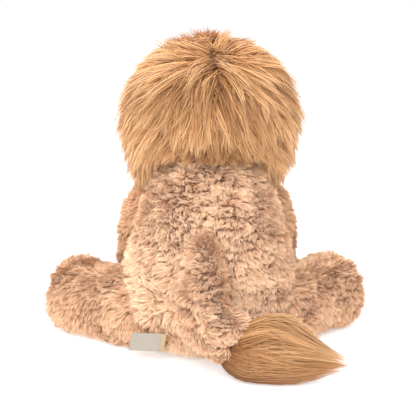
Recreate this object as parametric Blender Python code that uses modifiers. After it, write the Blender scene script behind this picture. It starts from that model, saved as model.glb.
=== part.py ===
"""A plush lion, sitting on the floor with its legs spread and its tail laid to one side.

The lion faces -Y, its left side is +X, and the origin is the middle of the flat
seat that it sits on. Each stuffed part has sewn cloth panels round its own
filling. The long fur of the mane and of the tail tuft is a fluted solid.
"""

import math

import bmesh
import bpy
from mathutils import Matrix, Vector

MM = 0.001
DEG = math.radians(1)

# The cloth, and the room between pieces.
CLOTH = 3.0 * MM  # plush cloth with its pile pressed flat
SEAM_GAP = 0.3 * MM  # between two pieces that touch
FILL_GAP = 0.7 * MM  # between the cloth and the filling, which gives at its bends
SWING_GAP = 0.8 * MM  # between a limb and the body that it swings past
FLAT_CUT = 0.5 * MM  # how deep the toy is pressed flat where it rests
REST_DEPTH = 1.6 * MM  # how far a limb's coarse form reaches under the floor
SLIVER = 0.01 * MM  # points nearer than this are one point
WORKROOM = 600.0 * MM  # the side of a cutter that takes all on one side of a plane

# The body, a pear with a round neck on which the head turns.
TORSO_WIDTH = 152.0 * MM
TORSO_DEPTH = 156.0 * MM
NECK_HEIGHT = 176.0 * MM  # from the seat to the centre that the head turns about
NECK_FORWARD = 5.0 * MM
NECK_RADIUS = 44.0 * MM
NECK_CLOTH = 2.0 * MM
NECK_PLAY = 0.9 * MM
NECK_HOLE = 9.0 * MM
NECK_SPAN = 58.0 * DEG
SEAM_FORWARD = 26.0 * MM  # how far the side seams pass the middle under the seat
# Height, half width, half depth: shares of the neck height, half width and half depth.
TORSO_SHARES = (
    (1.040, 0.710, 0.640),
    (0.830, 0.800, 0.860),
    (0.570, 0.960, 0.990),
    (0.300, 1.060, 1.030),
    (0.085, 0.930, 0.900),
)
SEAT_SHARES = (0.68, 0.34)
NECK_RING_SHARES = (0.42, 0.84)

# The head: its face panel, its filling and what is on the face.
HEAD_WIDTH = 124.0 * MM
HEAD_DEPTH = 120.0 * MM
HEAD_HEIGHT = 112.0 * MM
HEAD_RISE = 62.0 * MM  # the middle of the head over the neck's centre
HEAD_FORWARD = 9.0 * MM
CHIN_RISE = 25.0 * MM  # the head's lower edge over the neck's centre
FACE_SEAM = 2.0 * MM  # how far in front of the head's middle the face panel ends
MUZZLE_WIDTH = 58.0 * MM
MUZZLE_HEIGHT = 44.0 * MM
MUZZLE_DEPTH = 56.0 * MM
MUZZLE_FORWARD = 54.0 * MM
MUZZLE_DROP = 17.0 * MM
NOSE_WIDTH = 25.0 * MM
NOSE_HEIGHT = 17.0 * MM
NOSE_DEPTH = 15.0 * MM
NOSE_LIFT = 38.0 * DEG
EYE_RADIUS = 6.8 * MM
EYE_SINK = 1.8 * MM
EYE_SPREAD = 27.0 * DEG
EYE_LIFT = 17.0 * DEG
SHANK_RADIUS = 1.6 * MM
SHANK_LENGTH = 9.0 * MM
WASHER_RADIUS = 7.0 * MM
WASHER_THICKNESS = 1.5 * MM
WASHER_SETBACK = 2.6 * MM
POCKET_ROOM = 1.0 * MM
EAR_RADIUS = 17.0 * MM
EAR_THICKNESS = 15.0 * MM
EAR_SPREAD = 55.0 * MM
EAR_FORWARD = 24.0 * MM
EAR_LIFT = 24.0 * MM
EAR_TURN = 22.0 * DEG

# The mane: two long fur panels that meet at the middle seam.
MANE_WIDTH = 178.0 * MM
MANE_DEPTH = 144.0 * MM
MANE_HEIGHT = 114.0 * MM
MANE_RISE = 8.0 * MM  # its lowest edge over the neck's centre
MANE_BACK = 7.0 * MM
MANE_LOCKS = 13  # locks round each half
MANE_CLEARANCE = 64.0 * MM  # the ball round the neck's centre that it stays out of
MANE_TILT = 10.0 * DEG
MANE_HEM_RISE = 18.0 * MM
FACE_OPENING = 50.0 * MM
FACE_FLARE = 6.0 * MM
FACE_DROP = 6.0 * MM
# Height and half width of each ring of locks, as shares of the mane's own sizes.
MANE_SHARES = (
    (0.945, 0.470),
    (0.800, 0.800),
    (0.600, 0.945),
    (0.380, 1.000),
    (0.180, 0.995),
    (0.010, 0.900),
)
MANE_BASE_SHARE = 0.62
LOCK_DEPTH_SHARE = 0.10

# The arms, which hang from the shoulders to the floor in front.
ARM_RADIUS = 24.0 * MM
PAW_RADIUS = 27.0 * MM
SHOULDER_INSET = 26.0 * MM  # from the body's side in to the middle of the shoulder
SHOULDER_SETBACK = 52.0 * MM  # from the body's front back to it
SHOULDER_DROP = 22.0 * MM  # under the neck's centre
SHOULDER_OUT = TORSO_WIDTH / 2 - SHOULDER_INSET
SHOULDER_FORWARD = TORSO_DEPTH / 2 - SHOULDER_SETBACK
PAW_INSET = 11.0 * MM  # from the body's side in to the middle of the paw
PAW_REACH = 30.0 * MM  # from the body's front on to it
PAW_OUT = TORSO_WIDTH / 2 - PAW_INSET
PAW_FORWARD = TORSO_DEPTH / 2 + PAW_REACH
PAW_LENGTH = 44.0 * MM
ARM_LIFT = 50.0 * DEG
ARM_HINGE_LIFT = 17.0 * MM
ARM_HINGE_BACK = 2.0 * MM
# Along the arm, then how far the arm bows outward and forward, then its girth.
ARM_SHARES = ((0.00, 0.00, 0.00, 0.98), (0.34, 0.24, 0.14, 1.00), (0.70, 0.16, 0.14, 0.95))
PAW_SHARES = ((0.74, 0.80), (0.40, 1.00), (0.00, 1.02))
SHOULDER_CAP_SHARE = 0.62

# The legs, spread to both sides and lying on the floor.
LEG_SPLAY = 52.0 * DEG
HIP_LINE_SHARE = 0.63  # of the body's half width: where the legs' middle lines start
HIP_BACK = 5.0 * MM
HIP_DEPTH = 36.0 * MM  # how far inside the body's side a thigh's form starts
LEG_LENGTH = 136.0 * MM
THIGH_HEIGHT = 80.0 * MM
THIGH_WIDTH = 76.0 * MM
FOOT_HEIGHT = 84.0 * MM
FOOT_WIDTH = 78.0 * MM
SOLE_DEPTH = 15.0 * MM
LEG_LIFT = 40.0 * DEG
# Place along the leg, height and width: shares of the length and of the sizes there.
THIGH_SHARES = ((0.00, 0.92, 0.94), (0.26, 1.00, 1.00), (0.56, 0.93, 0.92))
FOOT_SHARES = ((0.80, 1.00, 0.96), (0.94, 0.86, 0.84))
FOOT_TIP_SHARE = 0.5
HIP_CAP_SHARE = -0.14

# The tail, which drops to the floor behind and bends to the right.
TAIL_RADIUS = 26.0 * MM
TAIL_ROOT_RISE = 124.0 * MM
TAIL_LIFT = 70.0 * DEG
TAIL_HINGE_DROP = 4.0 * MM
TUFT_LENGTH = 104.0 * MM
TUFT_RADIUS = 32.0 * MM
TUFT_HEADING = 18.0 * DEG
TUFT_SWING = 20.0 * DEG
TUFT_ROOT_SHARE = -0.02
TUFT_LOCKS = 9
TUFT_LOCK_SHARE = 0.10
TUFT_TIP_SHARE = 0.20  # the height of its tip, as a share of its radius
# Across and back in tail radii from where it lies, height as a share of the root's, girth.
TAIL_SHARES = ((0.43, -1.50, 0.98, 0.70), (0.51, -0.72, 0.81, 0.80), (0.53, -0.15, 0.59, 0.90),
               (0.46, 0.22, 0.36, 0.97), (0.05, 0.50, 0.00, 1.00), (-0.62, 0.62, 0.00, 0.98))
TAIL_TIP_SHARES = (-1.18, 0.70)
TAIL_TOP_SHARES = (0.40, -2.20, 1.03)
TUFT_SHARES = ((0.93, 0.30), (0.74, 0.66), (0.52, 0.93), (0.34, 1.00), (0.16, 0.92))

# The blank cream label in the seam beside the seat.
LABEL_LENGTH = 35.0 * MM
LABEL_HEIGHT = 17.0 * MM
LABEL_THICKNESS = 1.0 * MM
LABEL_RISE = 15.0 * MM
LABEL_BEARING = 46.0 * DEG
LABEL_SLANT = 14.0 * DEG
LABEL_ROUND = 0.3 * MM

# How finely the soft forms are cut up.
BODY_SIDES = 10
HEAD_SIDES = 10
LIMB_SIDES = 8
BALL_SIDES = 24
SMALL_SIDES = 14
SMOOTHING = 1

# Where things come from those sizes.
UP = Vector((0, 0, 1))
ACROSS = Vector((1, 0, 0))
FRONT = Vector((0, -1, 0))
NECK = Vector((0, -NECK_FORWARD, NECK_HEIGHT))
HEAD = NECK + FRONT * HEAD_FORWARD + UP * HEAD_RISE
NECK_OUTSIDE = NECK_RADIUS + NECK_PLAY + NECK_CLOTH
BOWL_RADIUS = NECK_OUTSIDE + NECK_PLAY

parts = None
cutters = None


def start():
    """Empty the scene and make the two collections."""
    global parts, cutters
    for thing in list(bpy.data.objects):
        bpy.data.objects.remove(thing, do_unlink=True)
    parts = bpy.data.collections.new("plush_lion")
    cutters = bpy.data.collections.new("cutters")
    bpy.context.scene.collection.children.link(parts)
    bpy.context.scene.collection.children.link(cutters)


def cloth(name, colour, roughness, metallic=0.0):
    """Make a plain material for one kind of cloth, thread or bead."""
    material = bpy.data.materials.new(name)
    material.use_nodes = True
    shader = material.node_tree.nodes["Principled BSDF"]
    shader.inputs["Base Color"].default_value = (*colour, 1)
    shader.inputs["Roughness"].default_value = roughness
    shader.inputs["Metallic"].default_value = metallic
    material.diffuse_color = (*colour, 1)
    return material


def new_object(name, mesh, collection):
    """Put a mesh in the scene under a name."""
    made = bpy.data.objects.new(name, mesh)
    collection.objects.link(made)
    if collection is cutters:
        made.hide_render = True
        made.display_type = "WIRE"
    return made


def mesh_of(name, shape):
    """Turn a bmesh into a smooth mesh."""
    mesh = bpy.data.meshes.new(name)
    shape.to_mesh(mesh)
    shape.free()
    mesh.shade_smooth()
    return mesh


def cage(name, spine, across, sides, flute=0.0):
    """Draw a ball out along a spine into a coarse cage.

    The spine runs from the pole at one end to the pole at the other, and each
    ring between them has a middle, a half size across and a half size along the
    third way. A flute share draws every second line of points inward.
    """
    shape = bmesh.new()
    rings = len(spine) - 1
    bmesh.ops.create_uvsphere(shape, u_segments=sides, v_segments=rings, radius=1)
    turn = math.pi / (2 * sides)
    corner = max(shape.verts, key=lambda point: point.co.x)
    first = math.atan2(corner.co.y, corner.co.x)
    for point in shape.verts:
        ring = round(math.acos(max(-1, min(1, point.co.z))) / math.pi * rings)
        middle, half_across, half_along = spine[ring]
        if ring in (0, rings):
            point.co = middle
            continue
        step = round((math.atan2(point.co.y, point.co.x) - first) * sides / math.tau)
        angle = step * math.tau / sides + turn
        run = (spine[ring - 1][0] - spine[ring + 1][0]).normalized()
        side = (across - run * across.dot(run)).normalized()
        swell = (1 - flute * (step % 2)) / math.cos(math.pi / sides)
        outward = side * half_across * math.cos(angle)
        outward += run.cross(side) * half_along * math.sin(angle)
        point.co = middle + outward * swell
    return mesh_of(name, shape)


def smooth(thing):
    """Round a cage off."""
    rounder = thing.modifiers.new("round", "SUBSURF")
    rounder.levels = SMOOTHING
    rounder.render_levels = SMOOTHING


def grow(thing, distance):
    """Move a surface outward, or inward where the distance is negative."""
    mover = thing.modifiers.new("grow", "DISPLACE")
    mover.strength = distance
    mover.mid_level = 0


def shell(thing, thickness):
    """Make a closed form a hollow one, with its outside where it was."""
    wall = thing.modifiers.new("cloth", "SOLIDIFY")
    wall.thickness = thickness
    wall.offset = -1


def settle(thing):
    """Make what was done to a piece its own shape, without slivers."""
    bpy.context.view_layer.update()
    seen = thing.evaluated_get(bpy.context.evaluated_depsgraph_get())
    mesh = bpy.data.meshes.new_from_object(seen)
    shape = bmesh.new()
    shape.from_mesh(mesh)
    bmesh.ops.remove_doubles(shape, verts=shape.verts, dist=SLIVER)
    bmesh.ops.dissolve_degenerate(shape, edges=shape.edges, dist=SLIVER)
    shape.to_mesh(mesh)
    shape.free()
    thing.modifiers.clear()
    thing.data = mesh
    mesh.name = thing.name


def cut(thing, cutter, keep=False, join=False):
    """Take the cutter away from a piece, keep what is inside it, or join it on."""
    knife = thing.modifiers.new(cutter.name, "BOOLEAN")
    knife.operation = "UNION" if join else "INTERSECT" if keep else "DIFFERENCE"
    knife.solver = "MANIFOLD"
    knife.object = cutter
    settle(thing)


def grown_cutter(name, mesh, distance, place=None):
    """Make a cutter from a cage, a little larger than the form, and turned to a place."""
    made = new_object(name, mesh, cutters)
    smooth(made)
    grow(made, distance)
    if place is not None:
        made.matrix_world = place
    return made


def half_room(name, point, toward):
    """Make a cutter that fills all the room on one side of a plane."""
    shape = bmesh.new()
    bmesh.ops.create_cube(shape, size=WORKROOM)
    made = new_object(name, mesh_of(name, shape), cutters)
    toward = Vector(toward).normalized()
    turn = UP.rotation_difference(toward).to_matrix().to_4x4()
    middle = Vector(point) + toward * WORKROOM / 2
    made.matrix_world = Matrix.Translation(middle) @ turn
    return made


def ball_cutter(name, middle, radius):
    """Make a round cutter whose flats stay outside the radius."""
    shape = bmesh.new()
    outer = radius / math.cos(math.pi / BALL_SIDES)
    bmesh.ops.create_uvsphere(
        shape, u_segments=BALL_SIDES, v_segments=BALL_SIDES // 2, radius=outer
    )
    made = new_object(name, mesh_of(name, shape), cutters)
    made.location = middle
    return made


def rod_mesh(name, start_radius, end_radius, length, sides):
    """Make a rod or cone along Z, from its foot at zero."""
    shape = bmesh.new()
    bmesh.ops.create_cone(
        shape, cap_ends=True, segments=sides, radius1=start_radius, radius2=end_radius,
        depth=length,
    )
    bmesh.ops.translate(shape, verts=shape.verts, vec=UP * length / 2)
    return mesh_of(name, shape)


def aimed(point, toward):
    """Return the place of something that starts at a point and runs one way."""
    turn = UP.rotation_difference(Vector(toward)).to_matrix().to_4x4()
    return Matrix.Translation(Vector(point)) @ turn


def turned_about(point, axis, angle):
    """Return a turn about a line through a point."""
    there = Matrix.Translation(Vector(point))
    return there @ Matrix.Rotation(angle, 4, Vector(axis)) @ there.inverted()


def set_origin(thing, point):
    """Move a piece's origin to a point, with its shape left where it is."""
    point = Vector(point)
    thing.data = thing.data.copy()
    thing.data.transform(Matrix.Translation(-point))
    thing.location = point


def panel(name, mesh, material):
    """Start a sewn cloth panel from a form."""
    made = new_object(name, mesh.copy(), parts)
    made.data.materials.append(material)
    smooth(made)
    shell(made, CLOTH)
    return made


def filling(name, mesh, material):
    """Start the stuffing of a form, just inside its cloth."""
    made = new_object(name, mesh.copy(), parts)
    made.data.materials.append(material)
    smooth(made)
    grow(made, -CLOTH - FILL_GAP)
    return made


def ball_spine(middle, way, half_length, half_across, half_along, rings):
    """Return the spine of an egg about a middle."""
    spine = []
    for ring in range(rings + 1):
        lean = math.pi * ring / rings
        round_share = math.sin(lean)
        place = Vector(middle) + Vector(way) * half_length * math.cos(lean)
        spine.append((place, half_across * round_share, half_along * round_share))
    return spine


def torso_spine():
    """Return the pear of the body, from the top of the neck to the seat."""
    spine = [(NECK + UP * NECK_RADIUS, 0, 0)]
    for share in NECK_RING_SHARES:
        lean = share * NECK_SPAN
        wide = NECK_RADIUS * math.sin(lean)
        spine.append((NECK + UP * NECK_RADIUS * math.cos(lean), wide, wide))
    for height, width, depth in TORSO_SHARES:
        middle = Vector((0, -NECK_FORWARD * height * height, NECK_HEIGHT * height))
        spine.append((middle, TORSO_WIDTH / 2 * width, TORSO_DEPTH / 2 * depth))
    for share in SEAT_SHARES:
        flat = Vector((0, 0, -FLAT_CUT))
        spine.append((flat, TORSO_WIDTH / 2 * share, TORSO_DEPTH / 2 * share))
    spine.append((Vector((0, 0, -FLAT_CUT)), 0, 0))
    return spine


def build_torso(plush, stuffing):
    """Make the two body panels and the filling, and return the body's cage and floor."""
    form = cage("torso_form", torso_spine(), ACROSS, BODY_SIDES)
    floor = half_room("under_the_floor", (0, 0, 0), -UP)
    foot = Vector((0, -SEAM_FORWARD, 0))
    seam = (UP * NECK_HEIGHT - foot).cross(ACROSS).normalized()
    if seam.y < 0:
        seam = -seam
    back_room = half_room("behind_side_seams", foot + seam * SEAM_GAP / 2, seam)
    front_room = half_room("before_side_seams", foot - seam * SEAM_GAP / 2, -seam)
    for name, room in (("torso_back_panel", back_room), ("torso_belly_panel", front_room)):
        made = panel(name, form, plush)
        cut(made, room, keep=True)
        cut(made, floor)
    filling("torso_filling", form, stuffing)
    return form, floor


def build_neck(plush):
    """Make the gathered neck cloth as a turned cap that the head rides on."""
    inside = NECK_RADIUS + NECK_PLAY
    shape = bmesh.new()
    steps = BALL_SIDES // 5
    first = NECK_HOLE / inside
    outer_line = []
    inner_line = []
    for step in range(steps + 1):
        lean = first + (NECK_SPAN - first) * step / steps
        way = Vector((math.sin(lean), 0, math.cos(lean)))
        outer_line.append(shape.verts.new(way * NECK_OUTSIDE))
        inner_line.append(shape.verts.new(way * inside))
    line = outer_line + inner_line[::-1]
    for start_point, end_point in zip(line, line[1:] + line[:1]):
        shape.edges.new((start_point, end_point))
    mesh = bpy.data.meshes.new("neck_gather")
    shape.to_mesh(mesh)
    shape.free()
    made = new_object("neck_gather", mesh, parts)
    made.data.materials.append(plush)
    made.location = NECK
    spin = made.modifiers.new("turn", "SCREW")
    spin.steps = BALL_SIDES
    spin.render_steps = BALL_SIDES
    spin.use_merge_vertices = True
    spin.merge_threshold = SEAM_GAP / 10
    spin.use_normal_calculate = True
    spin.use_smooth_shade = True
    return made


def surface_point(form, middle, way):
    """Return where a line out of the middle leaves a form, and the outward way there."""
    bpy.context.view_layer.update()
    seen = form.evaluated_get(bpy.context.evaluated_depsgraph_get())
    _, spot, slope, _ = seen.ray_cast(Vector(middle), Vector(way).normalized())
    return spot, slope


def build_eye(side, word, skull_clear, bead, hard_plastic, face, head_stuffing):
    """Make one bead eye with its shank, and the washer that locks it inside."""
    spread = side * EYE_SPREAD
    level = math.cos(EYE_LIFT)
    way = Vector((math.sin(spread) * level, -math.cos(spread) * level, math.sin(EYE_LIFT)))
    spot, slope = surface_point(skull_clear, HEAD, way)
    shape = bmesh.new()
    bmesh.ops.create_uvsphere(
        shape, u_segments=SMALL_SIDES, v_segments=SMALL_SIDES // 2, radius=EYE_RADIUS
    )
    eye = new_object("eye_" + word, mesh_of("eye_" + word, shape), parts)
    eye.data.materials.append(bead)
    eye.matrix_world = aimed(spot - slope * EYE_SINK, slope)
    cut(eye, skull_clear)
    reach = EYE_RADIUS / 2
    shank = rod_mesh("shank", SHANK_RADIUS, SHANK_RADIUS, SHANK_LENGTH + reach, SMALL_SIDES)
    stem = new_object("eye_shank_" + word, shank, cutters)
    stem.matrix_world = aimed(spot + slope * reach, -slope)
    cut(eye, stem, join=True)
    hole = SHANK_RADIUS + SEAM_GAP
    bore = rod_mesh("bore", hole, hole, SHANK_LENGTH * 2, SMALL_SIDES)
    drill = new_object("eye_hole_" + word, bore, cutters)
    drill.matrix_world = aimed(spot + slope * SHANK_LENGTH / 2, -slope)
    cut(face, drill)
    inside = CLOTH + WASHER_SETBACK
    disc = rod_mesh("washer", WASHER_RADIUS, WASHER_RADIUS, WASHER_THICKNESS, SMALL_SIDES)
    washer = new_object("eye_washer_" + word, disc, parts)
    washer.data.materials.append(hard_plastic)
    washer.matrix_world = aimed(spot - slope * inside, -slope)
    cut(washer, drill)
    room = WASHER_RADIUS + POCKET_ROOM
    pocket = rod_mesh("pocket", room, room, SHANK_LENGTH + POCKET_ROOM, SMALL_SIDES)
    hollow = new_object("eye_pocket_" + word, pocket, cutters)
    hollow.matrix_world = aimed(spot, -slope)
    cut(head_stuffing, hollow)


def build_head(plush, pale, bead, hard_plastic, stuffing, lining):
    """Make the face, muzzle, nose, eyes and ears, and return what the mane is cut by."""
    skull = cage(
        "skull_form",
        ball_spine(HEAD, UP, HEAD_HEIGHT / 2, HEAD_WIDTH / 2, HEAD_DEPTH / 2, 6),
        ACROSS, HEAD_SIDES,
    )
    skull_clear = grown_cutter("skull_clear", skull, SEAM_GAP)
    bowl = ball_cutter("neck_bowl", NECK, BOWL_RADIUS)
    under_chin = half_room("under_chin", NECK + UP * CHIN_RISE, -UP)
    seam_y = HEAD.y - FACE_SEAM
    front_room = half_room("before_face_seam", (0, seam_y - SEAM_GAP / 2, 0), FRONT)
    back_room = half_room("behind_face_seam", (0, seam_y + SEAM_GAP / 2, 0), -FRONT)

    face = panel("face_panel", skull, plush)
    cut(face, front_room, keep=True)
    back = panel("head_back_panel", skull, plush)
    cut(back, back_room, keep=True)
    for made in (face, back):
        cut(made, bowl)
        cut(made, under_chin)
    head_stuffing = filling("head_filling", skull, stuffing)
    cut(head_stuffing, bowl)
    cut(head_stuffing, under_chin)

    muzzle_at = HEAD + FRONT * MUZZLE_FORWARD - UP * MUZZLE_DROP
    muzzle = cage(
        "muzzle_form",
        ball_spine(muzzle_at, FRONT, MUZZLE_DEPTH / 2, MUZZLE_WIDTH / 2, MUZZLE_HEIGHT / 2, 4),
        ACROSS, LIMB_SIDES,
    )
    muzzle_skin = panel("muzzle_panel", muzzle, pale)
    cut(muzzle_skin, skull_clear)
    cut(muzzle_skin, bowl)
    muzzle_stuffing = filling("muzzle_filling", muzzle, stuffing)
    cut(muzzle_stuffing, skull_clear)
    muzzle_clear = grown_cutter("muzzle_clear", muzzle, SEAM_GAP)

    nose_way = FRONT * math.cos(NOSE_LIFT) + UP * math.sin(NOSE_LIFT)
    nose_at, _ = surface_point(muzzle_clear, muzzle_at, nose_way)
    nose_form = cage(
        "nose_form",
        ball_spine(nose_at, UP, NOSE_HEIGHT / 2, NOSE_WIDTH / 2, NOSE_DEPTH / 2, 4),
        ACROSS, LIMB_SIDES,
    )
    nose = new_object("nose", nose_form, parts)
    nose.data.materials.append(bead)
    smooth(nose)
    cut(nose, muzzle_clear)

    ears = []
    for side, word in ((1, "left"), (-1, "right")):
        build_eye(side, word, skull_clear, bead, hard_plastic, face, head_stuffing)
        ear_at = HEAD + ACROSS * side * EAR_SPREAD + FRONT * EAR_FORWARD + UP * EAR_LIFT
        facing = Vector((side * math.sin(EAR_TURN), -math.cos(EAR_TURN), 0))
        ear = cage(
            "ear_form_" + word,
            ball_spine(ear_at, facing, EAR_THICKNESS / 2, EAR_RADIUS, EAR_RADIUS, 4),
            facing.cross(UP), LIMB_SIDES,
        )
        before = half_room("ear_front_" + word, ear_at + facing * SEAM_GAP / 2, facing)
        behind = half_room("ear_back_" + word, ear_at - facing * SEAM_GAP / 2, -facing)
        for name, room, made_of in (
            ("ear_%s_lining" % word, before, lining),
            ("ear_%s_back" % word, behind, plush),
        ):
            made = new_object(name, ear.copy(), parts)
            made.data.materials.append(made_of)
            smooth(made)
            cut(made, room, keep=True)
            cut(made, skull_clear)
        ears.append(grown_cutter("ear_clear_" + word, ear, SEAM_GAP))

    return [skull_clear, *ears]


def build_mane(fur, head_cutters):
    """Make the two fur panels, with their locks as flutes."""
    low = NECK + UP * MANE_RISE - FRONT * MANE_BACK
    half_width = MANE_WIDTH / 2
    half_depth = MANE_DEPTH / 2
    spine = [(low + UP * MANE_HEIGHT, 0, 0)]
    for height, wide in MANE_SHARES:
        middle = low + UP * MANE_HEIGHT * height
        spine.append((middle, half_width * wide, half_depth * wide))
    inner = MANE_BASE_SHARE
    spine.append((low, half_width * inner, half_depth * inner))
    spine.append((low, 0, 0))
    bell = cage("mane_form", spine, ACROSS, 2 * MANE_LOCKS, LOCK_DEPTH_SHARE)

    clear = ball_cutter("neck_clearance", NECK, MANE_CLEARANCE)
    hem_at = NECK + UP * MANE_HEM_RISE
    hem_way = Vector((0, -math.sin(MANE_TILT), -math.cos(MANE_TILT)))
    hem = half_room("under_mane", hem_at, hem_way)
    opening_length = HEAD_DEPTH
    opening_end = FACE_OPENING + FACE_FLARE * 2
    opening = new_object(
        "face_opening",
        rod_mesh("face_opening", FACE_OPENING, opening_end, opening_length, BALL_SIDES),
        cutters,
    )
    opening_at = HEAD - UP * FACE_DROP + FRONT * (FACE_SEAM + HEAD_DEPTH / 6)
    opening.matrix_world = aimed(opening_at, FRONT)
    for side, word in ((1, "left"), (-1, "right")):
        room = half_room("mane_side_" + word, ACROSS * side * SEAM_GAP / 2, ACROSS * side)
        made = new_object("mane_%s_panel" % word, bell.copy(), parts)
        made.data.materials.append(fur)
        smooth(made)
        cut(made, room, keep=True)
        for cutter in (clear, hem, opening, *head_cutters):
            cut(made, cutter)
        set_origin(made, NECK)


def swept_clear(word, form, hinge, axis, most):
    """Make the body's cutters for a limb that swings, one for each of three places."""
    made = []
    for step in range(3):
        gap = SWING_GAP if step else SEAM_GAP
        place = turned_about(hinge, axis, -most * step / 2)
        made.append(grown_cutter("body_past_%s_%d" % (word, step), form, gap, place))
    return made


def arm_hinge(side):
    """Return the point at the top of the shoulder that an arm swings about."""
    out = SHOULDER_OUT * side
    back = -SHOULDER_FORWARD - NECK_FORWARD + ARM_HINGE_BACK
    return Vector((out, back, NECK_HEIGHT - SHOULDER_DROP + ARM_HINGE_LIFT))


def build_arm(side, word, torso, floor, plush, stuffing):
    """Make one arm: two cloth panels round a filling, from shoulder to paw."""
    shoulder = Vector((
        SHOULDER_OUT * side, -SHOULDER_FORWARD - NECK_FORWARD, NECK_HEIGHT - SHOULDER_DROP
    ))
    level = PAW_RADIUS * math.cos(math.pi / (2 * LIMB_SIDES)) - REST_DEPTH
    paw = Vector((PAW_OUT * side, -PAW_FORWARD, level))
    reach = paw - shoulder
    tip = paw + FRONT * PAW_LENGTH
    spine = [(tip, 0, 0)]
    for along, girth in PAW_SHARES:
        radius = PAW_RADIUS * girth
        spine.append((paw + FRONT * PAW_LENGTH * along, radius, radius))
    for along, out, forward, girth in reversed(ARM_SHARES):
        bow = ACROSS * side * out * ARM_RADIUS * 2 + FRONT * forward * ARM_RADIUS * 2
        middle = shoulder + reach * along + bow
        spine.append((middle, ARM_RADIUS * girth, ARM_RADIUS * girth))
    cap = shoulder - reach.normalized() * ARM_RADIUS * SHOULDER_CAP_SHARE
    spine.append((cap, 0, 0))
    form = cage("arm_form_" + word, spine, ACROSS, LIMB_SIDES)
    hinge = arm_hinge(side)
    bodies = swept_clear("arm_" + word, torso, hinge, -ACROSS, ARM_LIFT)
    middle = shoulder + (paw - shoulder) / 2
    turn = reach.cross(FRONT).normalized()
    seam = turn if turn.dot(ACROSS * side) > 0 else -turn
    outer = half_room("arm_out_" + word, middle + seam * SEAM_GAP / 2, seam)
    inner = half_room("arm_in_" + word, middle - seam * SEAM_GAP / 2, -seam)
    for name, room in (
        ("arm_%s_outer_panel" % word, outer),
        ("arm_%s_inner_panel" % word, inner),
    ):
        made = panel(name, form, plush)
        cut(made, room, keep=True)
        cut(made, floor)
        for cutter in bodies:
            cut(made, cutter)
        set_origin(made, hinge)
    stuffed = filling("arm_%s_filling" % word, form, stuffing)
    for cutter in bodies:
        cut(stuffed, cutter)
    set_origin(stuffed, hinge)


def leg_way(side):
    """Return the way that a leg points along the floor."""
    return Vector((side * math.sin(LEG_SPLAY), -math.cos(LEG_SPLAY), 0))


def leg_crease(side):
    """Return the point of the floor under the place where a leg leaves the body."""
    wide = TORSO_WIDTH / 2
    deep = TORSO_DEPTH / 2
    begin = Vector((wide * HIP_LINE_SHARE * side, HIP_BACK, 0))
    way = leg_way(side)
    square = (way.x / wide) ** 2 + (way.y / deep) ** 2
    both = begin.x * way.x / wide**2 + begin.y * way.y / deep**2
    rest = (begin.x / wide) ** 2 + (begin.y / deep) ** 2 - 1
    far = (math.sqrt(both * both - square * rest) - both) / square
    return begin + way * far


def leg_hinge(side):
    """Return the top of the crease between thigh and body, where a leg lifts."""
    return leg_crease(side) + UP * THIGH_HEIGHT


def build_leg(side, word, torso, floor, plush, stuffing):
    """Make one leg: two cloth panels and a sole round a filling."""
    way = leg_way(side)
    hip = leg_crease(side) - way * HIP_DEPTH
    flat = math.cos(math.pi / (2 * LIMB_SIDES))
    rings = []
    for along, high, wide in THIGH_SHARES:
        rings.append((along, THIGH_HEIGHT / 2 * high, THIGH_WIDTH / 2 * wide))
    for along, high, wide in FOOT_SHARES:
        rings.append((along, FOOT_HEIGHT / 2 * high, FOOT_WIDTH / 2 * wide))
    tip = hip + way * LEG_LENGTH + UP * FOOT_HEIGHT * FOOT_TIP_SHARE
    cap = hip + way * LEG_LENGTH * HIP_CAP_SHARE + UP * THIGH_HEIGHT / 2
    spine = [(tip, 0, 0)]
    for along, half_height, half_width in reversed(rings):
        middle = hip + way * LEG_LENGTH * along + UP * (half_height * flat - REST_DEPTH)
        spine.append((middle, half_width, half_height))
    spine.append((cap, 0, 0))
    sideways = way.cross(UP)
    form = cage("leg_form_" + word, spine, sideways, LIMB_SIDES)
    hinge = leg_hinge(side)
    bodies = swept_clear("leg_" + word, torso, hinge, way.cross(UP), LEG_LIFT)
    outward = sideways if sideways.x * side > 0 else -sideways
    outer = half_room("leg_out_" + word, hip + outward * SEAM_GAP / 2, outward)
    inner = half_room("leg_in_" + word, hip - outward * SEAM_GAP / 2, -outward)
    seam_at = hip + way * (LEG_LENGTH - SOLE_DEPTH)
    beyond = half_room("sole_room_" + word, seam_at + way * SEAM_GAP / 2, way)
    within = half_room("leg_room_" + word, seam_at - way * SEAM_GAP / 2, -way)
    for name, room in (
        ("leg_%s_outer_panel" % word, outer),
        ("leg_%s_inner_panel" % word, inner),
    ):
        made = panel(name, form, plush)
        cut(made, room, keep=True)
        cut(made, within, keep=True)
        cut(made, floor)
        for cutter in bodies:
            cut(made, cutter)
        set_origin(made, hinge)
    sole = panel("leg_%s_sole" % word, form, plush)
    cut(sole, beyond, keep=True)
    cut(sole, floor)
    set_origin(sole, hinge)
    stuffed = filling("leg_%s_filling" % word, form, stuffing)
    for cutter in bodies:
        cut(stuffed, cutter)
    set_origin(stuffed, hinge)


def tail_point(across, back, height):
    """Return a point near the tail, from shares of its own sizes."""
    return Vector((
        across * TAIL_RADIUS,
        TORSO_DEPTH / 2 + (1 + back) * TAIL_RADIUS,
        height * TAIL_ROOT_RISE,
    ))


def tail_hinge():
    """Return the point over the tail's root that it lifts about."""
    root = tail_point(*TAIL_SHARES[0][:3])
    return root + UP * (TAIL_RADIUS * TAIL_SHARES[0][3] - TAIL_HINGE_DROP)


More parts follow.
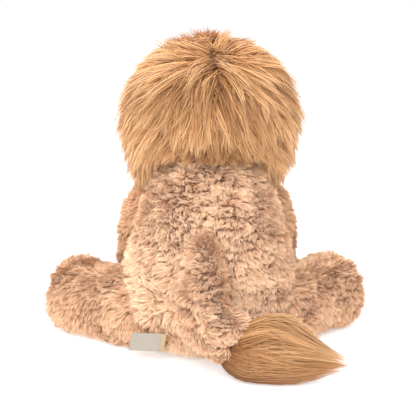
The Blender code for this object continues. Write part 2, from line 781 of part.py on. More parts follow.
def build_tail(torso, floor, plush, fur, stuffing):
    """Make the tail's two panels and filling, and its fur tuft."""
    flat = math.cos(math.pi / (2 * LIMB_SIDES))
    spine = [(tail_point(*TAIL_TOP_SHARES), 0, 0)]
    for across, back, height, girth in TAIL_SHARES:
        radius = TAIL_RADIUS * girth
        middle = tail_point(across, back, height)
        middle.z = max(middle.z, radius * flat - REST_DEPTH)
        spine.append((middle, radius, radius))
    tuft_at = spine[-1][0]
    spine.append((tail_point(*TAIL_TIP_SHARES, 0) + UP * tuft_at.z, 0, 0))
    form = cage("tail_form", spine, UP / 2 - FRONT, LIMB_SIDES)
    hinge = tail_hinge()
    bodies = swept_clear("tail", torso, hinge, ACROSS, TAIL_LIFT)

    heading = Vector((-math.cos(TUFT_HEADING), math.sin(TUFT_HEADING), 0))
    base_at = Vector((tuft_at.x, tuft_at.y, 0))
    flat_tuft = math.cos(math.pi / (2 * TUFT_LOCKS))
    rings = []
    for along, wide in TUFT_SHARES:
        half = TUFT_RADIUS * wide
        up = half * flat_tuft * (1 - TUFT_LOCK_SHARE / 2) - FLAT_CUT
        rings.append((base_at + heading * TUFT_LENGTH * along + UP * up, half, half))
    tip = base_at + heading * TUFT_LENGTH + UP * TUFT_RADIUS * TUFT_TIP_SHARE
    root_end = base_at + heading * TUFT_LENGTH * TUFT_ROOT_SHARE + UP * TAIL_RADIUS
    tuft_spine = [(tip, 0, 0), *rings, (root_end, 0, 0)]
    tuft_form = cage(
        "tuft_form", tuft_spine, heading.cross(UP), 2 * TUFT_LOCKS, TUFT_LOCK_SHARE
    )
    tuft = new_object("tail_tuft", tuft_form, parts)
    tuft.data.materials.append(fur)
    smooth(tuft)
    cut(tuft, floor)
    for step in (0, 1, -1):
        place = turned_about(tuft_at, UP, TUFT_SWING * step)
        gap = SWING_GAP if step else SEAM_GAP
        cut(tuft, grown_cutter("tail_past_tuft_%d" % (step + 1), form, gap, place))
    set_origin(tuft, tuft_at)

    bend = spine[4][0]
    seam = (spine[2][0] - bend).cross(spine[-2][0] - bend).normalized()
    over = half_room("tail_over_room", bend + seam * SEAM_GAP / 2, seam)
    under = half_room("tail_under_room", bend - seam * SEAM_GAP / 2, -seam)
    for name, room in (("tail_outer_panel", over), ("tail_inner_panel", under)):
        made = panel(name, form, plush)
        cut(made, room, keep=True)
        cut(made, floor)
        for cutter in bodies:
            cut(made, cutter)
        set_origin(made, hinge)
    stuffed = filling("tail_filling", form, stuffing)
    for cutter in bodies:
        cut(stuffed, cutter)
    set_origin(stuffed, hinge)


def build_label(torso, ribbon):
    """Make the blank folded label, which lies flat on the round of the cloth by its seam."""
    shape = bmesh.new()
    bmesh.ops.create_cube(shape, size=1)
    scale = Vector((LABEL_LENGTH, LABEL_THICKNESS, LABEL_HEIGHT))
    bmesh.ops.scale(shape, vec=scale, verts=shape.verts)
    mesh = mesh_of("care_label", shape)
    mesh.shade_flat()
    made = new_object("care_label", mesh, parts)
    made.data.materials.append(ribbon)
    outward = Vector((math.sin(LABEL_BEARING), math.cos(LABEL_BEARING), 0))
    body = grown_cutter("body_by_label", torso, SEAM_GAP)
    spot, slope = surface_point(body, UP * LABEL_RISE, outward)
    turn = (-FRONT).rotation_difference(slope).to_matrix().to_4x4()
    slant = Matrix.Rotation(LABEL_SLANT, 4, -FRONT)
    middle = spot + slope * LABEL_THICKNESS / 2
    made.matrix_world = Matrix.Translation(middle) @ turn @ slant
    edge = made.modifiers.new("edge", "BEVEL")
    edge.width = LABEL_ROUND
    edge.segments = 1


def main():
    """Build the lion."""
    start()
    plush = cloth("tan_plush", (0.61, 0.35, 0.22), 0.95)
    pale = cloth("cream_plush", (0.86, 0.72, 0.55), 0.95)
    fur = cloth("golden_fur", (0.60, 0.36, 0.16), 0.80)
    lining = cloth("ear_lining", (0.80, 0.60, 0.44), 0.95)
    bead = cloth("dark_bead", (0.03, 0.02, 0.015), 0.15)
    hard_plastic = cloth("clear_white_plastic", (0.85, 0.85, 0.82), 0.40)
    stuffing = cloth("polyester_filling", (0.92, 0.92, 0.90), 1.0)
    ribbon = cloth("cream_ribbon", (0.84, 0.79, 0.68), 0.60)

    torso, floor = build_torso(plush, stuffing)
    build_neck(plush)
    head_cutters = build_head(plush, pale, bead, hard_plastic, stuffing, lining)
    build_mane(fur, head_cutters)
    for side, word in ((1, "left"), (-1, "right")):
        build_arm(side, word, torso, floor, plush, stuffing)
        build_leg(side, word, torso, floor, plush, stuffing)
    build_tail(torso, floor, plush, fur, stuffing)
    build_label(torso, ribbon)


main()
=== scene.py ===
"""A plush lion that sits with its back to the camera: its fur, face, label and studio.

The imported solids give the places. Each stuffed part is a backing cloth with a
short crushed pile of fine strands on it, and the mane and the tail's tuft are
long locks. Lengths are in metres; the lion faces -Y and its left side is +X.
"""

from __future__ import annotations

import logging
import math
from dataclasses import dataclass, field
from enum import Enum
from typing import Callable, Optional, Sequence

import bpy
import numpy as np
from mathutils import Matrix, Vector

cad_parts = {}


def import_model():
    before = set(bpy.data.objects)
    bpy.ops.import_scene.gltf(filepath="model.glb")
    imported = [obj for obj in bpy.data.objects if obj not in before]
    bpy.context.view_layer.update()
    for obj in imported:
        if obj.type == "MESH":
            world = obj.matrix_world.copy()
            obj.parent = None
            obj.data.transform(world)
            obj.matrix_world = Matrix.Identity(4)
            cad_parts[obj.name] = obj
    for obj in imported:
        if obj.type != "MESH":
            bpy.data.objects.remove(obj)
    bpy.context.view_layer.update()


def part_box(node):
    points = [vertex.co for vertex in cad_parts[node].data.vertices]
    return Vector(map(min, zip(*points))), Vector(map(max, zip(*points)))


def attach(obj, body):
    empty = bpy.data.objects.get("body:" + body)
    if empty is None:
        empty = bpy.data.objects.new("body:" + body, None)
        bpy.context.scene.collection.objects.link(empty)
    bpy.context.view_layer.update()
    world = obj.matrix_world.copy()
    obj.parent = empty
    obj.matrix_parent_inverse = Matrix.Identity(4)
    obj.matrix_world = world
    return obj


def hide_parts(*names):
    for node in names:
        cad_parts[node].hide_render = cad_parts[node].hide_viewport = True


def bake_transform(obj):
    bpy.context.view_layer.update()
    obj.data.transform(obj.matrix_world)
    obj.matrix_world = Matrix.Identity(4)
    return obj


LOG = logging.getLogger("plush_lion")
Array = np.ndarray
Colour = tuple[float, float, float]
Spine = list[tuple[Array, float, float]]

MM = 0.001
STRAND_MAP = "OFBake"  # the map that says a strand's tint and how far along it a point is
FLOOR_CLEARANCE = 0.4 * MM
PRESS_HEIGHT = 2.0 * MM  # pile below this is pressed up from the floor
PRESS_DEPTH = 1.6 * MM
PRESS_FADE = 4.0 * MM
UP = np.array([0.0, 0.0, 1.0])
ACROSS = np.array([1.0, 0.0, 0.0])
FRONT = np.array([0.0, -1.0, 0.0])
NECK_LEAN = math.radians(58)  # how far round its ball the neck's cloth reaches
FLAT = math.cos(math.pi / 16)  # how near the middle the flats of a sixteen-sided limb are
SINK = 1.6 * MM  # how far the cloth of a limb is pressed flat on the floor


# Shader sums


class Wire:
    """A shader value that takes part in sums as a number does."""

    def __init__(self, weave: "Weave", socket: bpy.types.NodeSocket) -> None:
        """Keep the material's weave and the socket that the value comes from."""
        self.weave = weave
        self.socket = socket

    def _sum(self, operation: str, first: object, second: object) -> "Wire":
        """Return a Math node of two values."""
        return self.weave.node("ShaderNodeMath", {"operation": operation}, {0: first, 1: second})

    def __add__(self, other: object) -> "Wire":
        """Return this plus the other."""
        return self._sum("ADD", self, other)

    def __radd__(self, other: object) -> "Wire":
        """Return the other plus this."""
        return self._sum("ADD", other, self)

    def __sub__(self, other: object) -> "Wire":
        """Return this minus the other."""
        return self._sum("SUBTRACT", self, other)

    def __rsub__(self, other: object) -> "Wire":
        """Return the other minus this."""
        return self._sum("SUBTRACT", other, self)

    def __mul__(self, other: object) -> "Wire":
        """Return this times the other."""
        return self._sum("MULTIPLY", self, other)

    def __rmul__(self, other: object) -> "Wire":
        """Return the other times this."""
        return self._sum("MULTIPLY", other, self)

    def __pow__(self, other: object) -> "Wire":
        """Return this to a power."""
        return self._sum("POWER", self, other)

    def outlet(self, name: str) -> "Wire":
        """Return another outlet of the node that this value comes from."""
        return Wire(self.weave, self.socket.node.outputs[name])


class Weave:
    """The nodes of one material, from what varies over it to its shader."""

    def __init__(self, name: str) -> None:
        """Start a material with a plain shader."""
        self.material = bpy.data.materials.new(name)
        self.material.use_nodes = True
        self.tree = self.material.node_tree
        self.shader = self.tree.nodes["Principled BSDF"]

    def node(
        self,
        kind: str,
        settings: Optional[dict] = None,
        values: Optional[dict] = None,
        outlet: int = 0,
    ) -> Wire:
        """Add a node.

        Args:
            kind: the node's type.
            settings: what is set on the node first; "stops" are a ramp's.
            values: the number, colour or wire for each of its sockets.
            outlet: which of its outlets is wanted.

        Returns:
            The wire that comes out of it.
        """
        made = self.tree.nodes.new(kind)
        for key, value in (settings or {}).items():
            if key == "stops":
                self._set_stops(made, value)
            else:
                setattr(made, key, value)
        for key, value in (values or {}).items():
            self.feed(made.inputs[key], value)
        return Wire(self, made.outputs[outlet])

    @staticmethod
    def _set_stops(ramp: bpy.types.Node, stops: Sequence[tuple[float, Colour]]) -> None:
        """Give a ramp its stops."""
        elements = ramp.color_ramp.elements
        while len(elements) < len(stops):
            elements.new(1.0)
        for element, (position, colour) in zip(elements, stops):
            element.position = position
            element.color = (*colour, 1.0)

    def feed(self, socket: bpy.types.NodeSocket, value: object) -> None:
        """Link a wire to a socket, or set the socket to a number or colour."""
        if isinstance(value, Wire):
            self.tree.links.new(value.socket, socket)
        elif isinstance(value, tuple) and socket.type == "RGBA":
            socket.default_value = (*value, 1.0)
        else:
            socket.default_value = value

    def mix(self, share: object, first: object, second: object) -> Wire:
        """Return one colour turned into another by a share."""
        return self.node(
            "ShaderNodeMix", {"data_type": "RGBA"}, {0: share, 6: first, 7: second}, outlet=2
        )

    def finish(self, **values: object) -> bpy.types.Material:
        """Set the shader's own sockets by their names, with _ for a space."""
        for key, value in values.items():
            self.feed(self.shader.inputs[key.replace("_", " ")], value)
        return self.material


def srgb(red: int, green: int, blue: int) -> Colour:
    """Return a colour of a screen's 0 to 255 numbers as the shader counts it."""
    shares = (red / 255, green / 255, blue / 255)
    return tuple(s / 12.92 if s <= 0.04045 else ((s + 0.055) / 1.055) ** 2.4 for s in shares)


# Finishes


@dataclass(frozen=True)
class StrandFinish:
    """Pile or long fur: each strand runs from its root's colour to its tip's, the roots darker partly
    by the fur's own colour and partly as painted shade deep in the pile.

    Dark and light are the strands' extremes, as stops along the strand; a strand's tint between them
    holds its own tone and the painted light and shade of its place.
    """

    name: str
    dark: tuple[tuple[float, Colour], ...]
    light: tuple[tuple[float, Colour], ...]
    roughness: float = 0.75
    sheen: float = 0.35
    sheen_tint: Colour = (1.0, 0.88, 0.76)
    gloss: float = 0.25

    def material(self) -> bpy.types.Material:
        """Make the finish."""
        weave = Weave(self.name)
        spot = weave.node("ShaderNodeUVMap", {"uv_map": STRAND_MAP})
        apart = weave.node("ShaderNodeSeparateXYZ", values={0: spot})
        tint = apart.outlet("X")
        along = apart.outlet("Y")
        dark = weave.node("ShaderNodeValToRGB", {"stops": self.dark}, {0: along})
        light = weave.node("ShaderNodeValToRGB", {"stops": self.light}, {0: along})
        return weave.finish(
            Base_Color=weave.mix(tint, dark, light),
            Roughness=self.roughness,
            Sheen_Weight=self.sheen,
            Sheen_Roughness=0.45,
            Sheen_Tint=self.sheen_tint,
            Specular_IOR_Level=self.gloss,
        )


@dataclass(frozen=True)
class BackingFinish:
    """The knitted cloth that a pile stands on."""

    name: str
    deep: Colour
    shallow: Colour
    grain: float = 320.0

    def material(self) -> bpy.types.Material:
        """Make the finish."""
        weave = Weave(self.name)
        place = weave.node("ShaderNodeTexCoord", outlet=3)
        blotch = weave.node("ShaderNodeTexNoise", values={"Vector": place, "Scale": 60.0})
        knit = weave.node("ShaderNodeTexNoise", values={"Vector": place, "Scale": self.grain})
        bump = weave.node(
            "ShaderNodeBump", values={"Height": knit, "Strength": 0.5, "Distance": MM}
        )
        return weave.finish(
            Base_Color=weave.mix(blotch, self.deep, self.shallow), Roughness=0.95,
            Sheen_Weight=0.2, Normal=bump, Specular_IOR_Level=0.1,
        )


@dataclass(frozen=True)
class BeadFinish:
    """Polished plastic, with the faint mottling of a moulded bead."""

    name: str
    deep: Colour
    shallow: Colour
    roughness: float = 0.12
    coat: float = 1.0
    dimple: float = 0.02
    gloss: float = 0.5

    def material(self) -> bpy.types.Material:
        """Make the finish."""
        weave = Weave(self.name)
        place = weave.node("ShaderNodeTexCoord", outlet=3)
        cloud = weave.node("ShaderNodeTexNoise", values={"Vector": place, "Scale": 240.0})
        fine = weave.node("ShaderNodeTexNoise", values={"Vector": place, "Scale": 2200.0})
        bump = weave.node(
            "ShaderNodeBump", values={"Height": fine, "Strength": self.dimple, "Distance": MM}
        )
        return weave.finish(
            Base_Color=weave.mix(cloud, self.deep, self.shallow),
            Roughness=self.roughness + 0.08 * cloud,
            Coat_Weight=self.coat, Normal=bump, Specular_IOR_Level=self.gloss,
        )


@dataclass(frozen=True)
class RibbonFinish:
    """Woven ribbon, with fine threads both ways."""

    name: str
    ground: Colour
    shade: Colour
    threads: float = 1900.0

    def material(self) -> bpy.types.Material:
        """Make the finish."""
        weave = Weave(self.name)
        place = weave.node("ShaderNodeTexCoord", outlet=3)
        lines = []
        for way in ("X", "Z"):
            lines.append(weave.node(
                "ShaderNodeTexWave", {"bands_direction": way},
                {"Vector": place, "Scale": self.threads / 6, "Distortion": 0.6}, outlet=1,
            ))
        cloth = (lines[0] + lines[1]) * 0.5
        cloud = weave.node("ShaderNodeTexNoise", values={"Vector": place, "Scale": 90.0})
        bump = weave.node(
            "ShaderNodeBump", values={"Height": cloth, "Strength": 0.25, "Distance": 0.2 * MM}
        )
        return weave.finish(
            Base_Color=weave.mix(cloud * 0.5 + cloth * 0.3, self.ground, self.shade),
            Roughness=0.7, Sheen_Weight=0.2, Normal=bump,
        )


@dataclass(frozen=True)
class FloorFinish:
    """The studio's pale sweep, lit from within so that it stays nearly white."""

    name: str
    colour: Colour
    glow: float

    def material(self) -> bpy.types.Material:
        """Make the finish."""
        weave = Weave(self.name)
        place = weave.node("ShaderNodeTexCoord", outlet=3)
        cloud = weave.node("ShaderNodeTexNoise", values={"Vector": place, "Scale": 4.0})
        return weave.finish(
            Base_Color=weave.mix(cloud, self.colour, (0.9, 0.9, 0.9)),
            Roughness=0.9, Specular_IOR_Level=0.0,
            Emission_Color=(1.0, 1.0, 1.0), Emission_Strength=self.glow,
        )


# Every finish below has roots darker than its tips, partly its own colour and partly painted shade
# deep in the pile.
TAN_PILE = StrandFinish(
    "tan_pile",
    dark=((0.0, srgb(178, 124, 86)), (0.5, srgb(204, 152, 113)), (1.0, srgb(226, 178, 139))),
    light=((0.0, srgb(210, 158, 117)), (0.45, srgb(237, 195, 156)), (1.0, srgb(249, 221, 190))),
)
CREAM_PILE = StrandFinish(
    "cream_pile",
    dark=((0.0, srgb(150, 112, 80)), (0.5, srgb(212, 182, 148)), (1.0, srgb(236, 210, 178))),
    light=((0.0, srgb(190, 152, 116)), (0.5, srgb(240, 220, 192)), (1.0, srgb(252, 240, 220))),
)
GOLDEN_FUR = StrandFinish(
    "golden_fur",
    dark=((0.0, srgb(88, 50, 22)), (0.32, srgb(130, 84, 44)), (0.8, srgb(172, 121, 74)),
          (1.0, srgb(198, 146, 96))),
    light=((0.0, srgb(166, 110, 62)), (0.22, srgb(210, 153, 98)), (0.75, srgb(231, 182, 129)),
           (1.0, srgb(246, 210, 164))),
    roughness=0.5, sheen=0.2, gloss=0.4,
)
EAR_PILE = StrandFinish(
    "ear_lining_pile",
    dark=((0.0, srgb(150, 104, 76)), (1.0, srgb(206, 164, 132))),
    light=((0.0, srgb(190, 146, 114)), (1.0, srgb(244, 212, 182))),
)
TAN_BACKING = BackingFinish("tan_backing", srgb(182, 130, 94), srgb(202, 151, 114))
CREAM_BACKING = BackingFinish("cream_backing", srgb(168, 132, 98), srgb(206, 174, 138))
FUR_BACKING = BackingFinish("fur_backing", srgb(86, 54, 28), srgb(126, 84, 48))
DARK_BEAD = BeadFinish("dark_bead", (0.006, 0.004, 0.003), (0.014, 0.008, 0.005),
                       0.16, 0.12, 0.02, 0.3)
NOSE_BEAD = BeadFinish("nose_bead", (0.022, 0.011, 0.007), (0.042, 0.021, 0.013),
                       0.38, 0.08, 0.35, 0.25)
WASHER_PLASTIC = BeadFinish("washer_plastic", (0.78, 0.78, 0.75), (0.86, 0.86, 0.84), 0.4, 0.0)
LABEL_RIBBON = RibbonFinish("cream_ribbon", srgb(158, 149, 138), srgb(143, 134, 121))
LABEL_EDGE = RibbonFinish("ribbon_fold", srgb(172, 150, 120), srgb(154, 130, 98))
MOUTH_THREAD = RibbonFinish("mouth_thread", srgb(66, 42, 30), srgb(44, 27, 19))
PALE_FLOOR = FloorFinish("pale_sweep", (0.82, 0.82, 0.82), 0.46)


# Noise and forms


class Rumple:
    """Smooth repeatable noise, and the cells in which clumps of pile gather."""

    SIDE = 32

    def __init__(self, seed: int) -> None:
        """Fill the table that both are read from."""
        shape = (self.SIDE, self.SIDE, self.SIDE, 3)
        self.table = np.random.default_rng(seed).uniform(-1.0, 1.0, shape)

    def _look(self, cell: Array) -> Array:
        """Return the table's three numbers for each cell."""
        inside = cell % self.SIDE
        return self.table[inside[:, 0], inside[:, 1], inside[:, 2]]

    def at(self, points: Array, size: float) -> Array:
        """Return three smooth numbers from -1 to 1 at each point.

        Args:
            points: n points.
            size: the distance over which the numbers change.

        Returns:
            An array of n times 3.
        """
        place = points / size
        cell = np.floor(place).astype(int)
        part = place - cell
        part = part * part * (3 - 2 * part)
        found = np.zeros((len(points), 3))
        for corner in np.ndindex(2, 2, 2):
            weight = np.prod(np.where(np.array(corner) == 1, part, 1 - part), axis=1)
            found += weight[:, None] * self._look(cell + np.array(corner))
        return found

    def cells(self, points: Array, size: float) -> tuple[Array, Array, Array]:
        """Return the middle of each point's clump, the way off as a share, and its chances.

        Args:
            points: n points.
            size: the usual width of a clump.

        Returns:
            The clumps' middles, the distance to them in clump widths, and three
            numbers from -1 to 1 that are the same all over a clump.
        """
        place = points / size
        cell = np.floor(place).astype(int)
        best = np.full(len(points), 1e9)
        middle = np.zeros_like(points)
        chance = np.zeros_like(points)
        for step in np.ndindex(3, 3, 3):
            near = cell + np.array(step) - 1
            draw = self._look(near)
            spot = near + 0.5 + 0.45 * draw
            far = np.linalg.norm(spot - place, axis=1)
            closer = far < best
            best = np.where(closer, far, best)
            middle[closer] = spot[closer]
            chance[closer] = draw[closer]
        return middle * size, best, chance[:, [2, 0, 1]]


def unit(ways: Array) -> Array:
    """Return ways of length 1."""
    return ways / np.maximum(np.linalg.norm(ways, axis=-1, keepdims=True), 1e-9)


def grid(first: Array, second: Array) -> list[Array]:
    """Return every pair of two lists' numbers, as two long lists."""
    return [numbers.ravel() for numbers in np.meshgrid(first, second, indexing="ij")]


def way_to(bearing: float, lift: float) -> Array:
    """Return the way that is turned from the front by a bearing and raised by a lift."""
    return np.array([
        math.sin(bearing) * math.cos(lift), -math.cos(bearing) * math.cos(lift), math.sin(lift)
    ])


def ball(
    middle: Array, way: Array, half_length: float, half_across: float, half_along: float,
    rings: int,
) -> Spine:
    """Return the rings of an egg about a middle."""
    spine = []
    for ring in range(rings + 1):
        lean = math.pi * ring / rings
        place = middle + way * half_length * math.cos(lean)
        spine.append((place, half_across * math.sin(lean), half_along * math.sin(lean)))
    return spine


class Form:
    """A stuffed shape: oval rings along a line, rounded off, with a pole at each end."""

    def __init__(self, spine: Spine, across: Array) -> None:
        """Work out each ring's middle, its half width across and its half height.

        Args:
            spine: the middle and the two half sizes of each ring, poles included.
            across: the way that the first half size runs.
        """
        middles = np.array([ring[0] for ring in spine])
        sides = np.zeros_like(middles)
        rises = np.zeros_like(middles)
        for ring in range(1, len(spine) - 1):
            run = unit(middles[ring - 1] - middles[ring + 1])
            side = unit(across - run * across.dot(run))
            sides[ring] = side * spine[ring][1]
            rises[ring] = np.cross(run, side) * spine[ring][2]
        self.last = len(spine) - 1
        self.middles = np.vstack([middles[1], middles, middles[-2]])
        self.sides = np.vstack([-sides[1], sides, -sides[-2]])
        self.rises = np.vstack([-rises[1], rises, -rises[-2]])

    def _weights(self, along: Array) -> tuple[Array, Array, Array]:
        """Return the four rings that shape each place, their weights and their slopes."""
        ring = np.clip(np.floor(along).astype(int), 0, self.last - 1)
        p = along - ring
        weights = np.stack([
            (1 - p) ** 3 / 6, (3 * p**3 - 6 * p**2 + 4) / 6,
            (-3 * p**3 + 3 * p**2 + 3 * p + 1) / 6, p**3 / 6,
        ], axis=1)
        slopes = np.stack([
            -(1 - p) ** 2 / 2, (9 * p**2 - 12 * p) / 6, (-9 * p**2 + 6 * p + 3) / 6, p**2 / 2,
        ], axis=1)
        return ring[:, None] + np.arange(4), weights, slopes

    def _mix(self, weights: Array, pick: Array) -> list[Array]:
        """Return the middles, the sides and the rises of picked rings, mixed by weights."""
        return [
            np.einsum("ni,nij->nj", weights, kind[pick])
            for kind in (self.middles, self.sides, self.rises)
        ]

    def place(self, along: Array, round_: Array) -> Array:
        """Return the points of the surface at places along and round it."""
        pick, weights, _ = self._weights(along)
        middle, side, rise = self._mix(weights, pick)
        return middle + side * np.cos(round_)[:, None] + rise * np.sin(round_)[:, None]

    def surface(self, along: Array, round_: Array) -> tuple[Array, Array, Array, Array]:
        """Return points, outward ways, the ways along the form, and the area each covers."""
        pick, weights, slopes = self._weights(along)
        turn, lift = np.cos(round_)[:, None], np.sin(round_)[:, None]
        middle, side, rise = self._mix(weights, pick)
        run, side_run, rise_run = self._mix(slopes, pick)
        run = run + side_run * turn + rise_run * lift
        points = middle + side * turn + rise * lift
        about = -side * lift + rise * turn
        normal = np.cross(run, about)
        area = np.linalg.norm(normal, axis=1)
        normal = unit(normal)
        inward = np.einsum("nj,nj->n", normal, points - middle) < 0
        normal[inward] *= -1
        return points, normal, unit(run), area

    def scatter(self, count: int, dice: np.random.Generator) -> tuple[Array, Array]:
        """Return places spread evenly over the surface."""
        rows, columns = 160, 96
        along = (np.arange(rows) + 0.5) / rows * self.last
        round_ = (np.arange(columns) + 0.5) / columns * math.tau
        grid_along, grid_round = grid(along, round_)
        area = self.surface(grid_along, grid_round)[3]
        chosen = dice.choice(len(area), size=count, p=area / area.sum())
        jitter = dice.uniform(-0.5, 0.5, (2, count))
        found = np.clip(grid_along[chosen] + jitter[0] * self.last / rows, 1e-3, self.last - 1e-3)
        return found, grid_round[chosen] + jitter[1] * math.tau / columns

    def holds(self, points: Array, share: float = 1.0) -> Array:
        """Return which points lie inside the form, shrunk to a share of its girth."""
        count = 48
        along = np.linspace(0.25, self.last - 0.25, count)
        pick, weights, slopes = self._weights(along)
        middle, side, rise = self._mix(weights, pick)
        run = self._mix(slopes, pick)[0]
        reach = np.linalg.norm(run, axis=1) * (self.last - 0.5) / count
        run = unit(run)
        inside = np.zeros(len(points), bool)
        for i in range(count):
            off = points - middle[i]
            wide = off @ side[i] / max(side[i] @ side[i], 1e-12)
            high = off @ rise[i] / max(rise[i] @ rise[i], 1e-12)
            level = np.abs(off @ run[i]) < reach[i]
            inside |= level & (wide**2 + high**2 < share**2)
        return inside

    def toward(self, middle: Array, way: Array) -> tuple[Array, Array]:
        """Return where a line out of a middle leaves the form, and the outward way there."""
        along = np.linspace(0.02, self.last - 0.02, 260)
        round_ = np.linspace(0, math.tau, 260)
        grid_along, grid_round = grid(along, round_)
        points, normals, _, _ = self.surface(grid_along, grid_round)
        best = int(np.argmax(unit(points - middle) @ unit(way)))
        return points[best], normals[best]


# Meshes


def new_mesh(name: str, points: Array, corners: Array, starts: Array) -> bpy.types.Mesh:
    """Make a mesh from its points and its faces' corners.

    Args:
        name: the mesh's name.
        points: n points.
        corners: the points' numbers, face after face.
        starts: where each face's corners begin.

    Returns:
        The mesh, shaded smooth.
    """
    mesh = bpy.data.meshes.new(name)
    mesh.vertices.add(len(points))
    mesh.vertices.foreach_set("co", np.ascontiguousarray(points, np.float32).ravel())
    mesh.loops.add(len(corners))
    mesh.loops.foreach_set("vertex_index", np.ascontiguousarray(corners, np.int32))
    mesh.polygons.add(len(starts))
    mesh.polygons.foreach_set("loop_start", np.ascontiguousarray(starts, np.int32))
    mesh.update(calc_edges=True)
    mesh.shade_smooth()
    return mesh


def closed_mesh(name: str, points: Array, corners: Array, starts: Array) -> bpy.types.Mesh:
    """Make a closed mesh as new_mesh does, with its faces turned outward."""
    mesh = new_mesh(name, points, corners, starts)
    if signed_volume(mesh) < 0:
        mesh.flip_normals()
    return mesh


def capped_mesh(name: str, points: Array, columns: int) -> bpy.types.Mesh:
    """Make a closed mesh from rings of points, with the two poles' points at their end."""
    count = len(points) - 2
    quads = quads_of(count // columns, columns)
    ring = np.arange(columns)
    after = (ring + 1) % columns
    base = count - columns
    first = np.stack([np.full(columns, count), after, ring], axis=1)
    last = np.stack([np.full(columns, count + 1), base + ring, base + after], axis=1)
    corners = np.concatenate([quads.ravel(), first.ravel(), last.ravel()])
    starts = np.concatenate([
        np.arange(len(quads)) * 4, len(quads) * 4 + np.arange(2 * columns) * 3,
    ])
    return closed_mesh(name, points, corners, starts)


def sheet_mesh(name: str, front: Array, back: Array, columns: int) -> bpy.types.Mesh:
    """Make a closed thin sheet from the two grids of points of its sides."""
    count = len(front)
    index = np.arange(count).reshape(-1, columns)
    quads = [np.stack([index[:-1, :-1], index[:-1, 1:], index[1:, 1:], index[1:, :-1]], -1)]
    quads.append(quads[0][..., ::-1] + count)
    rim = np.concatenate([index[0, :-1], index[:-1, -1], index[-1, :0:-1], index[:0:-1, 0]])
    after = np.roll(rim, -1)
    quads.append(np.stack([after, rim, rim + count, after + count], -1))
    corners = np.concatenate([quad.reshape(-1, 4) for quad in quads])
    starts = np.arange(len(corners)) * 4
    return closed_mesh(name, np.vstack([front, back]), corners.ravel(), starts)


def quads_of(rows: int, columns: int) -> Array:
    """Return the corners of the quads of a grid that closes round its columns."""
    row = np.arange(rows - 1)[:, None]
    column = np.arange(columns)[None, :]
    after = (column + 1) % columns
    quads = np.stack([
        row * columns + column, row * columns + after,
        (row + 1) * columns + after, (row + 1) * columns + column,
    ], axis=-1)
    return quads.reshape(-1, 4)


def skin_mesh(
    name: str, form: Form, rows: int, columns: int, inset: float,
    relief: Optional[Callable[[Array], Array]] = None,
) -> bpy.types.Mesh:
    """Make the closed backing of a form, a little inside it.

    Args:
        name: the mesh's name.
        form: the stuffed shape.
        rows: how many rows of faces run along it.
        columns: how many run round it.
        inset: how far inside the form the backing lies.
        relief: how far each point stands out from there.

    Returns:
        The mesh.
    """
    along = np.linspace(0.0, form.last, rows + 1)[1:-1]
    round_ = np.arange(columns) / columns * math.tau
    grid_along, grid_round = grid(along, round_)
    points, normals, _, _ = form.surface(grid_along, grid_round)
    raised = relief(points) if relief else np.zeros(len(points))
    points = points + normals * (raised - inset)[:, None]
    poles = form.place(np.array([0.0, float(form.last)]), np.zeros(2))
    ends = np.array([points[:columns].mean(axis=0), points[-columns:].mean(axis=0)])
    poles = poles + unit(ends - poles) * inset
    points = np.vstack([points, poles])
    points[:, 2] = np.maximum(points[:, 2], FLOOR_CLEARANCE * 2)
    return capped_mesh(name, points, columns)


def signed_volume(mesh: bpy.types.Mesh) -> float:
    """Return a closed mesh's volume, below zero where its faces look inward."""
    mesh.calc_loop_triangles()
    corners = np.zeros(len(mesh.loop_triangles) * 3, np.int32)
    mesh.loop_triangles.foreach_get("vertices", corners)
    points = np.zeros(len(mesh.vertices) * 3, np.float32)
    mesh.vertices.foreach_get("co", points)
    a, b, c = points.reshape(-1, 3)[corners.reshape(-1, 3)].transpose(1, 0, 2)
    return float(np.einsum("nj,nj->n", a, np.cross(b, c)).sum() / 6)


def tube_mesh(name: str, path: Array, radii: Array, sides: int = 8) -> bpy.types.Mesh:
    """Make a closed round thread along a path."""
    spine = [(path[0], 0.0, 0.0)]
    spine += [(point, radius, radius) for point, radius in zip(path, radii)]
    spine.append((path[-1], 0.0, 0.0))
    way = unit(path[-1] - path[0])
    across = ACROSS if abs(way[0]) < 0.7 else UP
    return skin_mesh(name, Form(spine, across), 3 * len(spine), sides, 0.0)


